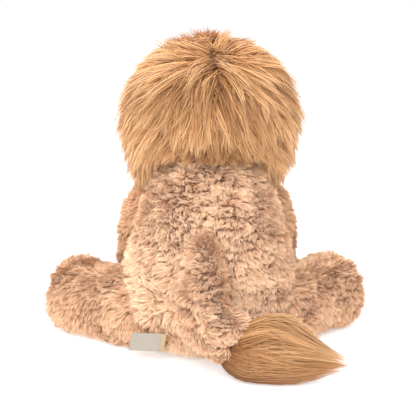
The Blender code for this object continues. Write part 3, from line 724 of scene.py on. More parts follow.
@dataclass
class Strands:
    """Fine tapered ribbons that become one mesh.

    Attributes:
        paths: n strands of k points, root first.
        outward: the way that each strand's flat side looks.
        half_widths: n times k half widths; the tip has none.
        tints: 0 for the darkest strand to 1 for the lightest.
        twist: each strand's turn about itself.
    """

    paths: Array
    outward: Array
    half_widths: Array
    tints: Array
    twist: Array

    def mesh(self, name: str) -> bpy.types.Mesh:
        """Return the ribbons as a mesh, mapped by tint and by the way along them."""
        paths = self.paths.copy()
        height = paths[..., 2]
        pressed = FLOOR_CLEARANCE + PRESS_DEPTH * np.exp((height - PRESS_HEIGHT) / PRESS_FADE)
        paths[..., 2] = np.where(height < PRESS_HEIGHT, pressed, height)
        count, steps, _ = paths.shape
        run = unit(np.gradient(paths, axis=1))
        side = unit(np.cross(run, self.outward[:, None, :]))
        lift = np.cross(side, run)
        turn = self.twist[:, None, None]
        side = side * np.cos(turn) + lift * np.sin(turn)
        off = (side * self.half_widths[..., None])[:, :-1]
        left = paths[:, :-1] - off
        right = paths[:, :-1] + off
        pairs = np.stack([left, right], axis=2).reshape(count, 2 * (steps - 1), 3)
        points = np.concatenate([pairs, paths[:, -1:]], axis=1)
        points[..., 2] = np.maximum(points[..., 2], FLOOR_CLEARANCE)
        each = 2 * steps - 1
        pattern, map_rows, sizes = [], [], []
        for step in range(steps - 2):
            low = 2 * step
            pattern += [low, low + 1, low + 3, low + 2]
            map_rows += [(-1, step), (1, step), (1, step + 1), (-1, step + 1)]
            sizes.append(4)
        low = 2 * (steps - 2)
        pattern += [low, low + 1, low + 2]
        map_rows += [(-1, steps - 2), (1, steps - 2), (0, steps - 1)]
        sizes.append(3)
        corners = (np.arange(count)[:, None] * each + np.array(pattern)).ravel()
        offsets = np.concatenate([[0], np.cumsum(sizes)[:-1]])
        starts = (np.arange(count)[:, None] * len(pattern) + offsets).ravel()
        mesh = new_mesh(name, points.reshape(-1, 3), corners, starts)
        sides = np.array([row[0] for row in map_rows]) / 512
        rise = np.array([row[1] for row in map_rows]) / (steps - 1)
        across = 0.01 + 0.98 * np.clip(self.tints, 0.0, 1.0)[:, None] + sides
        spots = np.stack(
            [np.clip(across, 0.001, 0.999), np.broadcast_to(rise * 0.998 + 0.001, across.shape)],
            axis=-1,
        )
        layer = mesh.uv_layers.new(name=STRAND_MAP)
        layer.data.foreach_set("uv", spots.astype(np.float32).ravel())
        return mesh


def put(
    name: str, mesh: bpy.types.Mesh, material: bpy.types.Material
) -> bpy.types.Object:
    """Put a piece in the scene."""
    made = bpy.data.objects.new(name, mesh)
    bpy.context.scene.collection.objects.link(made)
    mesh.materials.clear()
    mesh.materials.append(material)
    return made


# Short pile


@dataclass(frozen=True)
class Nap:
    """How the short crushed pile of a part stands."""

    length: float = 9.0 * MM
    half_width: float = 0.36 * MM
    clump: float = 13.0 * MM
    tuft: float = 2.6 * MM
    lean: float = 0.62
    pull: float = 2.4 * MM  # how far the pile is combed up to its ridges
    relief: float = 3.5 * MM
    flatten: float = 2.7  # how much wider than high its ridges are


class Comb(Enum):
    """The way in which a part's pile mostly lies."""

    DOWN = "down"
    TO_PAW = "to_paw"
    BACK = "back"
    TO_TIP = "to_tip"


@dataclass
class Pelt:
    """A form's backing and its short pile, on the same lumps."""

    form: Form
    nap: Nap
    seed: int
    comb: Comb = Comb.DOWN

    def relief(self, points: Array) -> Array:
        """Return how far the crushed pile stands out at each point, in lumps with creases."""
        rumple = Rumple(5)
        squeezed = points * np.array([1.0, 1.0, self.nap.flatten])
        warp = rumple.at(points, 24.0 * MM) * 9.0 * MM + rumple.at(points, 9.0 * MM) * 2.5 * MM
        coarse = np.abs(rumple.at(squeezed + warp, 17.0 * MM)[:, 0])
        fine = np.abs(rumple.at(squeezed + warp * 0.7, 8.0 * MM)[:, 1])
        lumps = np.minimum(coarse * 2.6, 1.0) ** 0.7 * 0.62 + np.minimum(fine * 2.4, 1.0) * 0.38
        return self.nap.relief * (2 * lumps - 1.2)

    def backing(self, name: str, rows: int, columns: int) -> bpy.types.Mesh:
        """Return the backing's mesh."""
        return skin_mesh(name, self.form, rows, columns, self.nap.length * 0.95, self.relief)

    def strands(
        self, count: int, keep: Optional[Callable[[Array], Array]] = None,
        tone_and_painted_shade: float = 0.0, shade: Optional[Callable[[Array], Array]] = None,
    ) -> Strands:
        """Grow the pile.

        Args:
            count: how many strands, before those that keep leaves out.
            keep: says for each point whether pile grows there.
            tone_and_painted_shade: how much lighter this part's strands are, its own tone with the
                painted shade that the arms and legs are given.
            shade: says for each point how much lighter its strand is beyond that, as painted light and
                shade by place.

        Returns:
            The strands.
        """
        nap = self.nap
        dice = np.random.default_rng(self.seed)
        rumple = Rumple(self.seed + 100)
        along, round_ = self.form.scatter(count, dice)
        outer, normal, run, _ = self.form.surface(along, round_)
        if keep is not None:
            kept = keep(outer)
            outer, normal, run = outer[kept], normal[kept], run[kept]
        count = len(outer)
        squeeze = np.array([1.0, 1.0, nap.flatten])
        squeezed = outer * squeeze + 3.0 * MM * rumple.at(outer, 6 * MM)
        _, off, chance = rumple.cells(squeezed, nap.clump)
        near, near_off, luck = rumple.cells(outer, nap.tuft)
        if self.comb is Comb.TO_PAW:
            base = -run
        elif self.comb is Comb.TO_TIP:
            base = run
        elif self.comb is Comb.BACK:
            base = np.broadcast_to(-FRONT, run.shape)
        else:
            base = np.broadcast_to(-UP, run.shape)
        way = 0.75 * base + 0.9 * rumple.at(outer, 30 * MM) + 0.7 * rumple.at(outer, 13 * MM)
        way = way + 0.35 * chance
        way = unit(way - normal * np.einsum("nj,nj->n", way, normal)[:, None])
        lean = way * (nap.length * nap.lean * dice.uniform(0.6, 1.1, (count, 1)))
        ridge = self.relief(outer)
        beyond = self.relief(outer + lean)
        edge = np.clip(off / 0.8, 0.0, 1.0) ** 2
        tall = nap.length * dice.uniform(0.80, 1.08, count) * (1 + 0.10 * chance[:, 0])
        tall = tall - nap.length * 0.12 * edge
        pull = self._uphill(outer, normal, run, ridge) * nap.pull
        pull = pull + self._inside(near - outer, normal) * 0.26
        root = outer + normal * (ridge - nap.length * 0.85)[:, None]
        top = outer + normal * (beyond - nap.length * 0.85)[:, None]
        stand = normal * tall[:, None]
        stray = dice.normal(0.0, 0.45 * MM, (count, 3))
        paths = np.stack([
            root,
            root + (top - root) * 0.15 + stand * 0.45 + lean * 0.12 + pull * 0.3,
            root + (top - root) * 0.55 + stand * 0.82 + lean * 0.50 + pull * 0.8 + stray * 0.5,
            top + stand * 0.97 + lean + pull + stray,
        ], axis=1)
        taper = np.array([0.8, 1.0, 0.75, 0.0])
        half = nap.half_width * dice.uniform(0.75, 1.25, (count, 1)) * taper
        patch = rumple.at(outer, 38 * MM)[:, 2]
        # Painted light and shade: strands on the crests of the crushed pile are lighter, and strands
        # at the edges of clumps and fine tufts are darker, where shade falls between them; the rest
        # varies at random.
        tints = 0.55 + tone_and_painted_shade + 0.06 * chance[:, 2] + 0.09 * patch - 0.05 * edge
        tints += 0.24 * np.clip(beyond / max(nap.relief, 1e-6), -1, 1) + 0.05 * luck[:, 0]
        tints -= 0.06 * np.clip(near_off / 0.8, 0, 1) ** 2
        tints += dice.normal(0.0, 0.10, count)
        if shade is not None:
            tints += shade(outer)
        return Strands(paths, normal, half, tints, dice.normal(0.0, 0.45, count))

    def _uphill(self, outer: Array, normal: Array, run: Array, ridge: Array) -> Array:
        """Return the ways up to the nearest ridges, shorter where the pile is level."""
        step = 1.5 * MM
        about = np.cross(normal, run)
        rise = (self.relief(outer + run * step) - ridge) / step
        other = (self.relief(outer + about * step) - ridge) / step
        slope = run * rise[:, None] + about * other[:, None]
        steep = np.linalg.norm(slope, axis=1, keepdims=True)
        return slope / np.maximum(steep, 1e-6) * np.clip(steep, 0.0, 1.0)

    @staticmethod
    def _inside(step: Array, normal: Array) -> Array:
        """Return steps without what leads out of the surface."""
        return step - normal * np.einsum("nj,nj->n", step, normal)[:, None]


# The lion's parts


@dataclass
class Lion:
    """Where the body's parts are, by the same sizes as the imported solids."""

    torso_width: float = 152 * MM
    torso_depth: float = 156 * MM
    neck_height: float = 176 * MM
    neck_forward: float = 5 * MM
    neck_radius: float = 44 * MM
    leg_splay: float = math.radians(52)
    tail_radius: float = 26 * MM
    tail_root_rise: float = 124 * MM
    head_middle: Array = field(default_factory=lambda: np.array([0.0, -14.0, 238.0]) * MM)

    @property
    def neck(self) -> Array:
        """Return the point that the head turns about."""
        return np.array([0.0, -self.neck_forward, self.neck_height])

    def torso(self) -> Form:
        """Return the pear of the body."""
        spine: Spine = [(self.neck + UP * self.neck_radius, 0.0, 0.0)]
        for share in (0.42, 0.84):
            lean = share * NECK_LEAN
            wide = self.neck_radius * math.sin(lean)
            spine.append((self.neck + UP * self.neck_radius * math.cos(lean), wide, wide))
        for height, width, depth in (
            (1.040, 0.710, 0.640), (0.830, 0.830, 0.860), (0.570, 1.030, 0.990),
            (0.300, 1.170, 1.030), (0.085, 1.020, 0.900),
        ):
            middle = np.array([0, -self.neck_forward * height**2, self.neck_height * height])
            spine.append((middle, self.torso_width / 2 * width, self.torso_depth / 2 * depth))
        for share in (0.68, 0.34):
            flat = np.array([0, 0, -0.5 * MM])
            spine.append((flat, self.torso_width / 2 * share, self.torso_depth / 2 * share))
        spine.append((np.array([0, 0, -0.5 * MM]), 0.0, 0.0))
        return Form(spine, ACROSS)

    def arm(self, side: int) -> Form:
        """Return an arm, from its paw to its shoulder."""
        radius, paw_radius, paw_length = 24 * MM, 27 * MM, 44 * MM
        shoulder = np.array([50 * MM * side, -31 * MM, 154 * MM])
        level = paw_radius * FLAT - SINK
        paw = np.array([65 * MM * side, -108 * MM, level])
        reach = paw - shoulder
        spine: Spine = [(paw + FRONT * paw_length, 0.0, 0.0)]
        for share, girth in ((0.74, 0.80), (0.40, 1.00), (0.00, 1.02)):
            spine.append((paw + FRONT * paw_length * share, paw_radius * girth, paw_radius * girth))
        loose = 0.12 if side < 0 else 0.0
        for share, out, forward, girth in (
            (0.70, 0.16 + loose, 0.14, 0.95), (0.34, 0.24 + loose, 0.14, 1.00),
            (0.00, 0.00, 0.00, 0.98),
        ):
            bow = ACROSS * side * out * radius * 2 + FRONT * forward * radius * 2
            spine.append((shoulder + reach * share + bow, radius * girth, radius * girth))
        spine.append((shoulder - unit(reach) * radius * 0.62, 0.0, 0.0))
        return Form(spine, ACROSS)

    def leg_way(self, side: int) -> Array:
        """Return the way that a leg points along the floor."""
        return np.array([side * math.sin(self.leg_splay), -math.cos(self.leg_splay), 0.0])

    def leg_crease(self, side: int) -> Array:
        """Return the point of the floor under the place where a leg leaves the body."""
        wide, deep = self.torso_width / 2, self.torso_depth / 2
        begin = np.array([wide * 0.63 * side, 5 * MM, 0.0])
        way = self.leg_way(side)
        oval = np.array([1 / wide**2, 1 / deep**2, 0.0])
        square, both = (way * way * oval).sum(), (begin * way * oval).sum()
        rest = (begin * begin * oval).sum() - 1
        return begin + way * (math.sqrt(both * both - square * rest) - both) / square

    def leg(self, side: int) -> Form:
        """Return a leg, from its sole to its hip."""
        way = self.leg_way(side)
        hip = self.leg_crease(side) - way * 36 * MM
        length = 136 * MM
        high, wide, foot_high, foot_wide = 40 * MM, 38 * MM, 42 * MM, 39 * MM
        spine: Spine = [(hip + way * length + UP * foot_high, 0.0, 0.0)]
        behind = np.array([-way[1] * side, way[0] * side, 0.0])
        for share, tall, broad, back in (
            (0.94, foot_high * 0.86, foot_wide * 0.84, 0.0),
            (0.80, foot_high, foot_wide * 0.96, 0.0), (0.56, high * 0.93, wide * 0.92, 0.0),
            (0.26, high * 1.02, wide * 1.04, 4.0), (0.0, high * 1.05, wide * 1.10, 9.0),
        ):
            middle = hip + way * length * share + UP * (tall * FLAT - SINK)
            spine.append((middle + behind * back * MM, broad, tall))
        spine.append((hip - way * length * 0.14 + UP * high, 0.0, 0.0))
        return Form(spine, np.cross(way, UP))

    def tail_point(self, across: float, back: float, height: float) -> Array:
        """Return a point near the tail, from shares of its own sizes."""
        return np.array([
            across * self.tail_radius,
            self.torso_depth / 2 + (1 + back) * self.tail_radius,
            height * self.tail_root_rise,
        ])

    def tail(self) -> Form:
        """Return the tail, from its root to where the tuft begins."""
        spine: Spine = [(self.tail_point(0.36, -2.20, 0.99), 0.0, 0.0)]
        for across, back, height, girth in (
            (0.38, -1.50, 0.93, 0.52), (0.44, -0.72, 0.79, 0.72), (0.54, -0.12, 0.59, 0.94),
            (0.52, 0.15, 0.42, 0.98), (-0.02, 0.20, 0.350, 0.92), (-0.66, 0.16, 0.285, 0.88),
        ):
            radius = self.tail_radius * girth
            middle = self.tail_point(across, back, height)
            middle[2] = max(middle[2], radius * FLAT - SINK)
            spine.append((middle, radius, radius))
        spine.append((self.tail_point(-1.06, 0.12, 0.23), 0.0, 0.0))
        return Form(spine, UP / 2 - FRONT)

    def skull(self) -> Form:
        """Return the stuffed head without its mane."""
        return Form(ball(self.head_middle, UP, 56 * MM, 62 * MM, 60 * MM, 6), ACROSS)

    def muzzle_middle(self) -> Array:
        """Return the middle of the muzzle."""
        return self.head_middle + FRONT * 54 * MM - UP * 17 * MM

    def muzzle(self) -> Form:
        """Return the stuffed muzzle."""
        return Form(ball(self.muzzle_middle(), FRONT, 28 * MM, 29 * MM, 22 * MM, 4), ACROSS)


@dataclass
class Workshop:
    """What every sub-assembly needs: the lion's places and the finishes once made."""

    lion: Lion
    made: dict[str, bpy.types.Material] = field(default_factory=dict)
    pieces: list[bpy.types.Object] = field(default_factory=list)

    def finish(self, finish: object) -> bpy.types.Material:
        """Return a finish's material, made the first time it is asked for."""
        if finish.name not in self.made:
            self.made[finish.name] = finish.material()
        return self.made[finish.name]

    def add(
        self, name: str, mesh: bpy.types.Mesh, finish: object, slot: str
    ) -> bpy.types.Object:
        """Put a piece in the scene with its finish."""
        piece = put(name, mesh, self.finish(finish))
        self.pieces.append(piece)
        LOG.info("%s: %d faces", name, len(mesh.polygons))
        return piece


@dataclass
class Torso:
    """The body: its cloth, and the pile of its back and its belly."""

    shop: Workshop
    back_strands: int = 150000
    belly_strands: int = 90000
    label_spot: tuple[float, float] = (60 * MM, 21 * MM)
    label_reach: tuple[float, float] = (17 * MM, 11 * MM)

    def _under_label(self, points: Array) -> Array:
        """Return which points the label lies on."""
        across = np.abs(points[:, 0] - self.label_spot[0]) < self.label_reach[0]
        height = np.abs(points[:, 2] - self.label_spot[1]) < self.label_reach[1]
        return across & height & (points[:, 1] > 35 * MM)

    def build(self) -> None:
        """Make the body's pieces and set them on the body."""
        lion = self.shop.lion
        form = lion.torso()
        nap = Nap()
        pelt = Pelt(form, nap, 11)
        cloth = self.shop.add("torso_cloth", pelt.backing("torso_cloth", 150, 190),
                              TAN_BACKING, "tan_plush")
        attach(cloth, "torso")
        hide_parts("torso_back_panel", "torso_belly_panel", "torso_filling")
        tail = lion.tail()
        others = [(lion.leg(1), 0.7), (lion.leg(-1), 0.7), (lion.arm(1), 0.4),
                  (lion.arm(-1), 0.4), (tail, 0.8)]

        def shade(points: Array) -> Array:
            """Return how much lighter the pile is: painted light over the whole body's pile, and
            painted shade in the crease beside the tail.
            """
            return 0.30 - 0.4 * tail.holds(points, 1.2) - 0.3 * tail.holds(points, 1.5)

        for word, sign, count in (("back", 1, self.back_strands), ("belly", -1, self.belly_strands)):
            for half, side in (("left", 1), ("right", -1)):
                def keep(points: Array, sign: int = sign, side: int = side) -> Array:
                    """Return which points are on this quarter and show."""
                    here = ((points[:, 1] + 20 * MM) * sign > 0) & (points[:, 0] * side >= 0)
                    here &= (points[:, 2] > 1.5 * MM) & (points[:, 2] < 212 * MM)
                    for other, share in others:
                        here &= ~other.holds(points, share)
                    return here & ~self._under_label(points)

                grown = Pelt(form, nap, 12 + side + 4 * sign).strands(
                    count, keep, shade=shade
                )
                name = "torso_%s_pile_%s" % (word, half)
                pile = self.shop.add(name, grown.mesh(name), TAN_PILE, "tan_plush")
                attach(pile, "torso")


@dataclass
class Neck:
    """The gathered cloth under the head."""

    shop: Workshop
    cap_radius: float = 47 * MM
    inner_height: float = 22 * MM
    gathers: int = 36

    def build(self) -> None:
        """Make the neck's cap and set it on the neck."""
        lion = self.shop.lion
        low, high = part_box("neck_gather")
        radius = (high.x - low.x) / 2
        spine: Spine = []
        for share in (0.0, 0.2, 0.45, 0.75, 1.0):
            lean = share * NECK_LEAN
            wide = self.cap_radius * math.sin(lean)
            spine.append((lion.neck + UP * self.cap_radius * math.cos(lean), wide, wide))
        inside = lion.neck + UP * self.inner_height
        spine += [(inside, radius * 0.9, radius * 0.9), (inside, 0.0, 0.0)]

        def fold(points: Array) -> Array:
            """Return the small radial folds of gathered cloth."""
            about = np.arctan2(points[:, 1] - lion.neck[1], points[:, 0])
            return 0.5 * MM * np.sin(about * self.gathers)

        mesh = skin_mesh("neck_gather_cloth", Form(spine, ACROSS), 40, 288, 0.5 * MM, fold)
        cap = self.shop.add("neck_gather_cloth", mesh, TAN_BACKING, "tan_plush")
        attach(cap, "neck")
        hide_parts("neck_gather")


@dataclass
class Limb:
    """An arm, a leg or the tail: its cloth and its pile."""

    shop: Workshop
    name: str
    form: Form
    nodes: tuple[str, ...]
    bend_start: Array
    bend_end: Array
    strands: int
    seed: int
    comb: Comb = Comb.TO_PAW
    tone_and_painted_shade: float = 0.0
    nap: Nap = field(default_factory=Nap)

    def build(self) -> None:
        """Make the limb's pieces."""
        torso = self.shop.lion.torso()
        pelt = Pelt(self.form, self.nap, self.seed, self.comb)
        cloth = self.shop.add(self.name + "_cloth", pelt.backing(self.name + "_cloth", 90, 90),
                              TAN_BACKING, "tan_plush")

        def keep(points: Array) -> Array:
            """Return which points are clear of the body."""
            return ~torso.holds(points, 0.9)

        grown = pelt.strands(self.strands, keep, self.tone_and_painted_shade)
        pile = self.shop.add(self.name + "_pile", grown.mesh(self.name + "_pile"),
                             TAN_PILE, "tan_plush")
        for piece in (cloth, pile):
            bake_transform(piece)
        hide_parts(*self.nodes)


@dataclass
class Head:
    """The face, the muzzle, the nose, the eyes, the mouth and the ears."""

    shop: Workshop
    face_strands: int = 34000
    muzzle_strands: int = 14000
    eye_bearing: float = math.radians(27)
    eye_lift: float = math.radians(17)
    eye_radius: float = 7.2 * MM

    def build(self) -> None:
        """Make what is on the front of the head and set it on the head."""
        lion = self.shop.lion
        skull = lion.skull()
        muzzle = lion.muzzle()
        nap = Nap(length=5.0 * MM, half_width=0.34 * MM, clump=5.0 * MM, lean=0.9, relief=0.7 * MM)
        pelt = Pelt(skull, nap, 31, Comb.BACK)
        cloth = self.shop.add("head_cloth", pelt.backing("head_cloth", 90, 110),
                              TAN_BACKING, "tan_plush")
        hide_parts("face_panel", "head_back_panel", "head_filling")

        def keep(points: Array) -> Array:
            """Return which points of the face show."""
            return (points[:, 1] < -22 * MM) & ~muzzle.holds(points, 0.9)

        pile = self.shop.add("face_pile", pelt.strands(self.face_strands, keep).mesh("face_pile"),
                             TAN_PILE, "tan_plush")
        self._muzzle(muzzle, skull)
        for piece in (cloth, pile):
            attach(piece, "head")
        for side, word in ((1, "left"), (-1, "right")):
            self._eye(side, word, skull)
            self._ear(side, word)

    def _muzzle(self, muzzle: Form, skull: Form) -> None:
        """Make the muzzle, the nose and the stitched mouth."""
        nap = Nap(length=4.0 * MM, half_width=0.3 * MM, clump=4.0 * MM, lean=0.9, relief=0.5 * MM)
        pelt = Pelt(muzzle, nap, 41, Comb.BACK)
        cloth = self.shop.add("muzzle_cloth", pelt.backing("muzzle_cloth", 50, 72),
                              CREAM_BACKING, "cream_plush")
        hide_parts("muzzle_panel", "muzzle_filling")

        def keep(points: Array) -> Array:
            """Return which points stand in front of the face."""
            return ~skull.holds(points, 0.97)

        pile = self.shop.add("muzzle_pile", pelt.strands(self.muzzle_strands, keep).mesh(
            "muzzle_pile"), CREAM_PILE, "cream_plush")
        nose = self._nose(muzzle)
        for piece in (cloth, pile, nose, *self._mouth(muzzle)):
            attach(piece, "head")

    def _nose(self, muzzle: Form) -> bpy.types.Object:
        """Make the rounded three-cornered nose."""
        low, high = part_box("nose")
        middle = (np.array(low) + np.array(high)) / 2
        half = (np.array(high) - np.array(low)) / 2
        rows, columns = 40, 64
        globe = Form(ball(np.zeros(3), UP, 1.0, 1.0, 1.0, 8), ACROSS)
        points = globe.place(
            *grid(np.linspace(0.05, 7.95, rows), np.arange(columns) / columns * math.tau)
        )
        points = unit(points)
        narrow = np.where(points[:, 2] < 0, 1 + 0.55 * points[:, 2], 1.0)
        shaped = np.stack([
            np.sign(points[:, 0]) * np.abs(points[:, 0]) ** 0.85 * narrow,
            points[:, 1] * (1 - 0.12 * np.abs(points[:, 2])),
            np.sign(points[:, 2]) * np.abs(points[:, 2]) ** 0.8,
        ], axis=1)
        nostril = np.exp(-((np.abs(shaped[:, 0]) - 0.48) ** 2 / 0.03 + (shaped[:, 2] + 0.15) ** 2
                           / 0.05)) * (shaped[:, 1] < 0)
        shaped *= (1 - 0.16 * nostril)[:, None]
        placed = middle + shaped * half * np.array([1.05, 1.1, 1.15])
        ends = np.array([placed[:columns].mean(axis=0), placed[-columns:].mean(axis=0)])
        mesh = capped_mesh("nose_button", np.vstack([placed, ends]), columns)
        nose = self.shop.add("nose_button", mesh, NOSE_BEAD, "dark_bead")
        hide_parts("nose")
        return nose

    def _mouth(self, muzzle: Form) -> list[bpy.types.Object]:
        """Make the mouth's three stitched lines under the nose."""
        lion = self.shop.lion
        middle = lion.muzzle_middle()
        made = []
        lines = {"mouth_stitch_middle": [(0.0, t) for t in np.linspace(-2, -28, 10)]}
        for side, word in ((1, "left"), (-1, "right")):
            lines["mouth_stitch_" + word] = [
                (side * 46 * t, -28 - 26 * math.sin(t * 2.2) + 22 * t * t)
                for t in np.linspace(0, 1, 14)
            ]
        for name, turns in lines.items():
            path = []
            for sideways, lift in turns:
                way = way_to(math.radians(sideways), math.radians(lift))
                spot, slope = muzzle.toward(middle, way)
                path.append(spot - slope * 0.2 * MM)
            mesh = tube_mesh(name, np.array(path), np.full(len(path), 0.9 * MM))
            made.append(self.shop.add(name, mesh, MOUTH_THREAD, "dark_bead"))
        return made

    def _eye(self, side: int, word: str, skull: Form) -> None:
        """Make one bead eye on its place."""
        lion = self.shop.lion
        way = way_to(side * self.eye_bearing, self.eye_lift)
        spot, slope = skull.toward(lion.head_middle, way)
        radius = self.eye_radius
        spine = ball(spot - slope * 1.2 * MM, slope, 6.2 * MM, radius, radius, 10)
        across = unit(np.cross(slope, UP))
        mesh = skin_mesh("eye_%s_bead" % word, Form(spine, across), 40, 48, 0.0)
        bead = self.shop.add("eye_%s_bead" % word, mesh, DARK_BEAD, "dark_bead")
        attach(bead, "head")
        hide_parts("eye_" + word)

    def _ear(self, side: int, word: str) -> None:
        """Make one ear: its furry back, its lining and the pile of both."""
        lion = self.shop.lion
        middle = lion.head_middle + np.array([55.0 * side, -24.0, 24.0]) * MM
        facing = np.array([side * math.sin(math.radians(22)), -math.cos(math.radians(22)), 0.0])
        across = np.cross(facing, UP)
        form = Form(ball(middle, facing, 7.5 * MM, 17 * MM, 17 * MM, 4), across)
        for kind, front, finish, slot, count in (
            ("lining", 1, EAR_PILE, "ear_lining", 5000), ("back", -1, TAN_PILE, "tan_plush", 6000),
        ):
            name = "ear_%s_%s" % (word, kind)
            spine: Spine = []
            for ring in range(5):
                lean = math.pi * ring / 8
                deep = math.cos(lean) * 7.5 * MM
                if kind == "lining":
                    deep *= 0.15
                spine.append((middle + facing * front * (deep + 0.2 * MM),
                              16 * MM * math.sin(lean), 16 * MM * math.sin(lean)))
            spine.append((middle + facing * front * 0.2 * MM, 8 * MM, 8 * MM))
            spine.append((middle + facing * front * 0.2 * MM, 0.0, 0.0))
            shape = Form(spine, across)
            mesh = skin_mesh(name + "_cloth", shape, 24, 40, 0.0)
            cloth = self.shop.add(name + "_cloth", mesh,
                                  CREAM_BACKING if front == 1 else TAN_BACKING, slot)
            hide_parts(name)
            nap = Nap(length=4 * MM, half_width=0.3 * MM, clump=4 * MM, relief=0.3 * MM)

            def keep(points: Array, front: int = front) -> Array:
                """Return which points are on this face of the ear."""
                return (points - middle) @ facing * front > 0

            grown = Pelt(form, nap, 50 + side + 3 * front, Comb.DOWN).strands(
                count, keep, 0.1 if front == 1 else 0.0)
            pile = self.shop.add(name + "_pile", grown.mesh(name + "_pile"), finish, slot)
            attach(cloth, "head")
            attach(pile, "head")


@dataclass
class Locks:
    """Long fur: strands gathered in locks along given lines.

    Attributes:
        guide: gives points for the places across, round and along each strand.
        steps: how many points a strand has.
        half_width: half the width of a strand at its root.
    """

    guide: Callable[[Array, Array, Array, Array], Array]
    steps: int = 9
    half_width: float = 0.42 * MM

    def grow(
        self, first: Array, second: Array, third: Array, spread: Array, each: int, seed: int,
        outward: Callable[[Array], Array], tone_and_painted_shade: Array, gather: float = 0.75,
    ) -> Strands:
        """Grow each lock's strands.

        Args:
            first: each lock's first number for the guide, and second and third alike.
            second: see first.
            third: see first.
            spread: how far the strands' own numbers stray from their lock's.
            each: how many strands a lock has.
            seed: what the chances come from.
            outward: gives the outward way at points.
            tone_and_painted_shade: how much lighter each lock is, its own tone with the painted light
                and shade of its place.
            gather: how much of the stray is gone at a lock's tip.

        Returns:
            The strands.
        """
        dice = np.random.default_rng(seed)
        locks = len(first)
        count = locks * each
        lock = np.repeat(np.arange(locks), each)
        t = np.linspace(0.0, 1.0, self.steps)[None, :]
        stray = dice.normal(0.0, 1.0, (3, count, 1)) * spread[:, None, None]
        close = 1 - gather * t**1.3
        centre = [values[lock][:, None] for values in (first, second, third)]
        numbers = [c + s * close for c, s in zip(centre, stray)]
        wave = dice.normal(0.0, 1.0, (2, locks))[:, lock][..., None]
        wobble = dice.normal(0.0, 1.0, (2, count, 1))
        reach = np.broadcast_to(t, (count, self.steps)) * dice.uniform(0.72, 1.0, (count, 1))
        bend = spread[1] * (0.9 * wave[0] * np.sin(2.6 * t + wave[1])
                            + 0.35 * wobble[0] * t * np.sin(4 * t + wobble[1]))
        numbers[1] = numbers[1] + bend
        flat = [np.broadcast_to(n, (count, self.steps)).ravel() for n in numbers]
        paths = self.guide(*flat, reach.ravel()).reshape(count, self.steps, 3)
        way = outward(paths[:, self.steps // 2])
        taper = (1 - t**2.2) * (0.75 + 0.5 * t)
        half = self.half_width * dice.uniform(0.7, 1.3, (count, 1)) * taper
        tints = 0.5 + (tone_and_painted_shade + 0.28 * dice.normal(0, 1, locks))[lock]
        tints += dice.normal(0, 0.16, count)
        return Strands(paths, way, half, tints, dice.normal(0.0, 0.6, count))


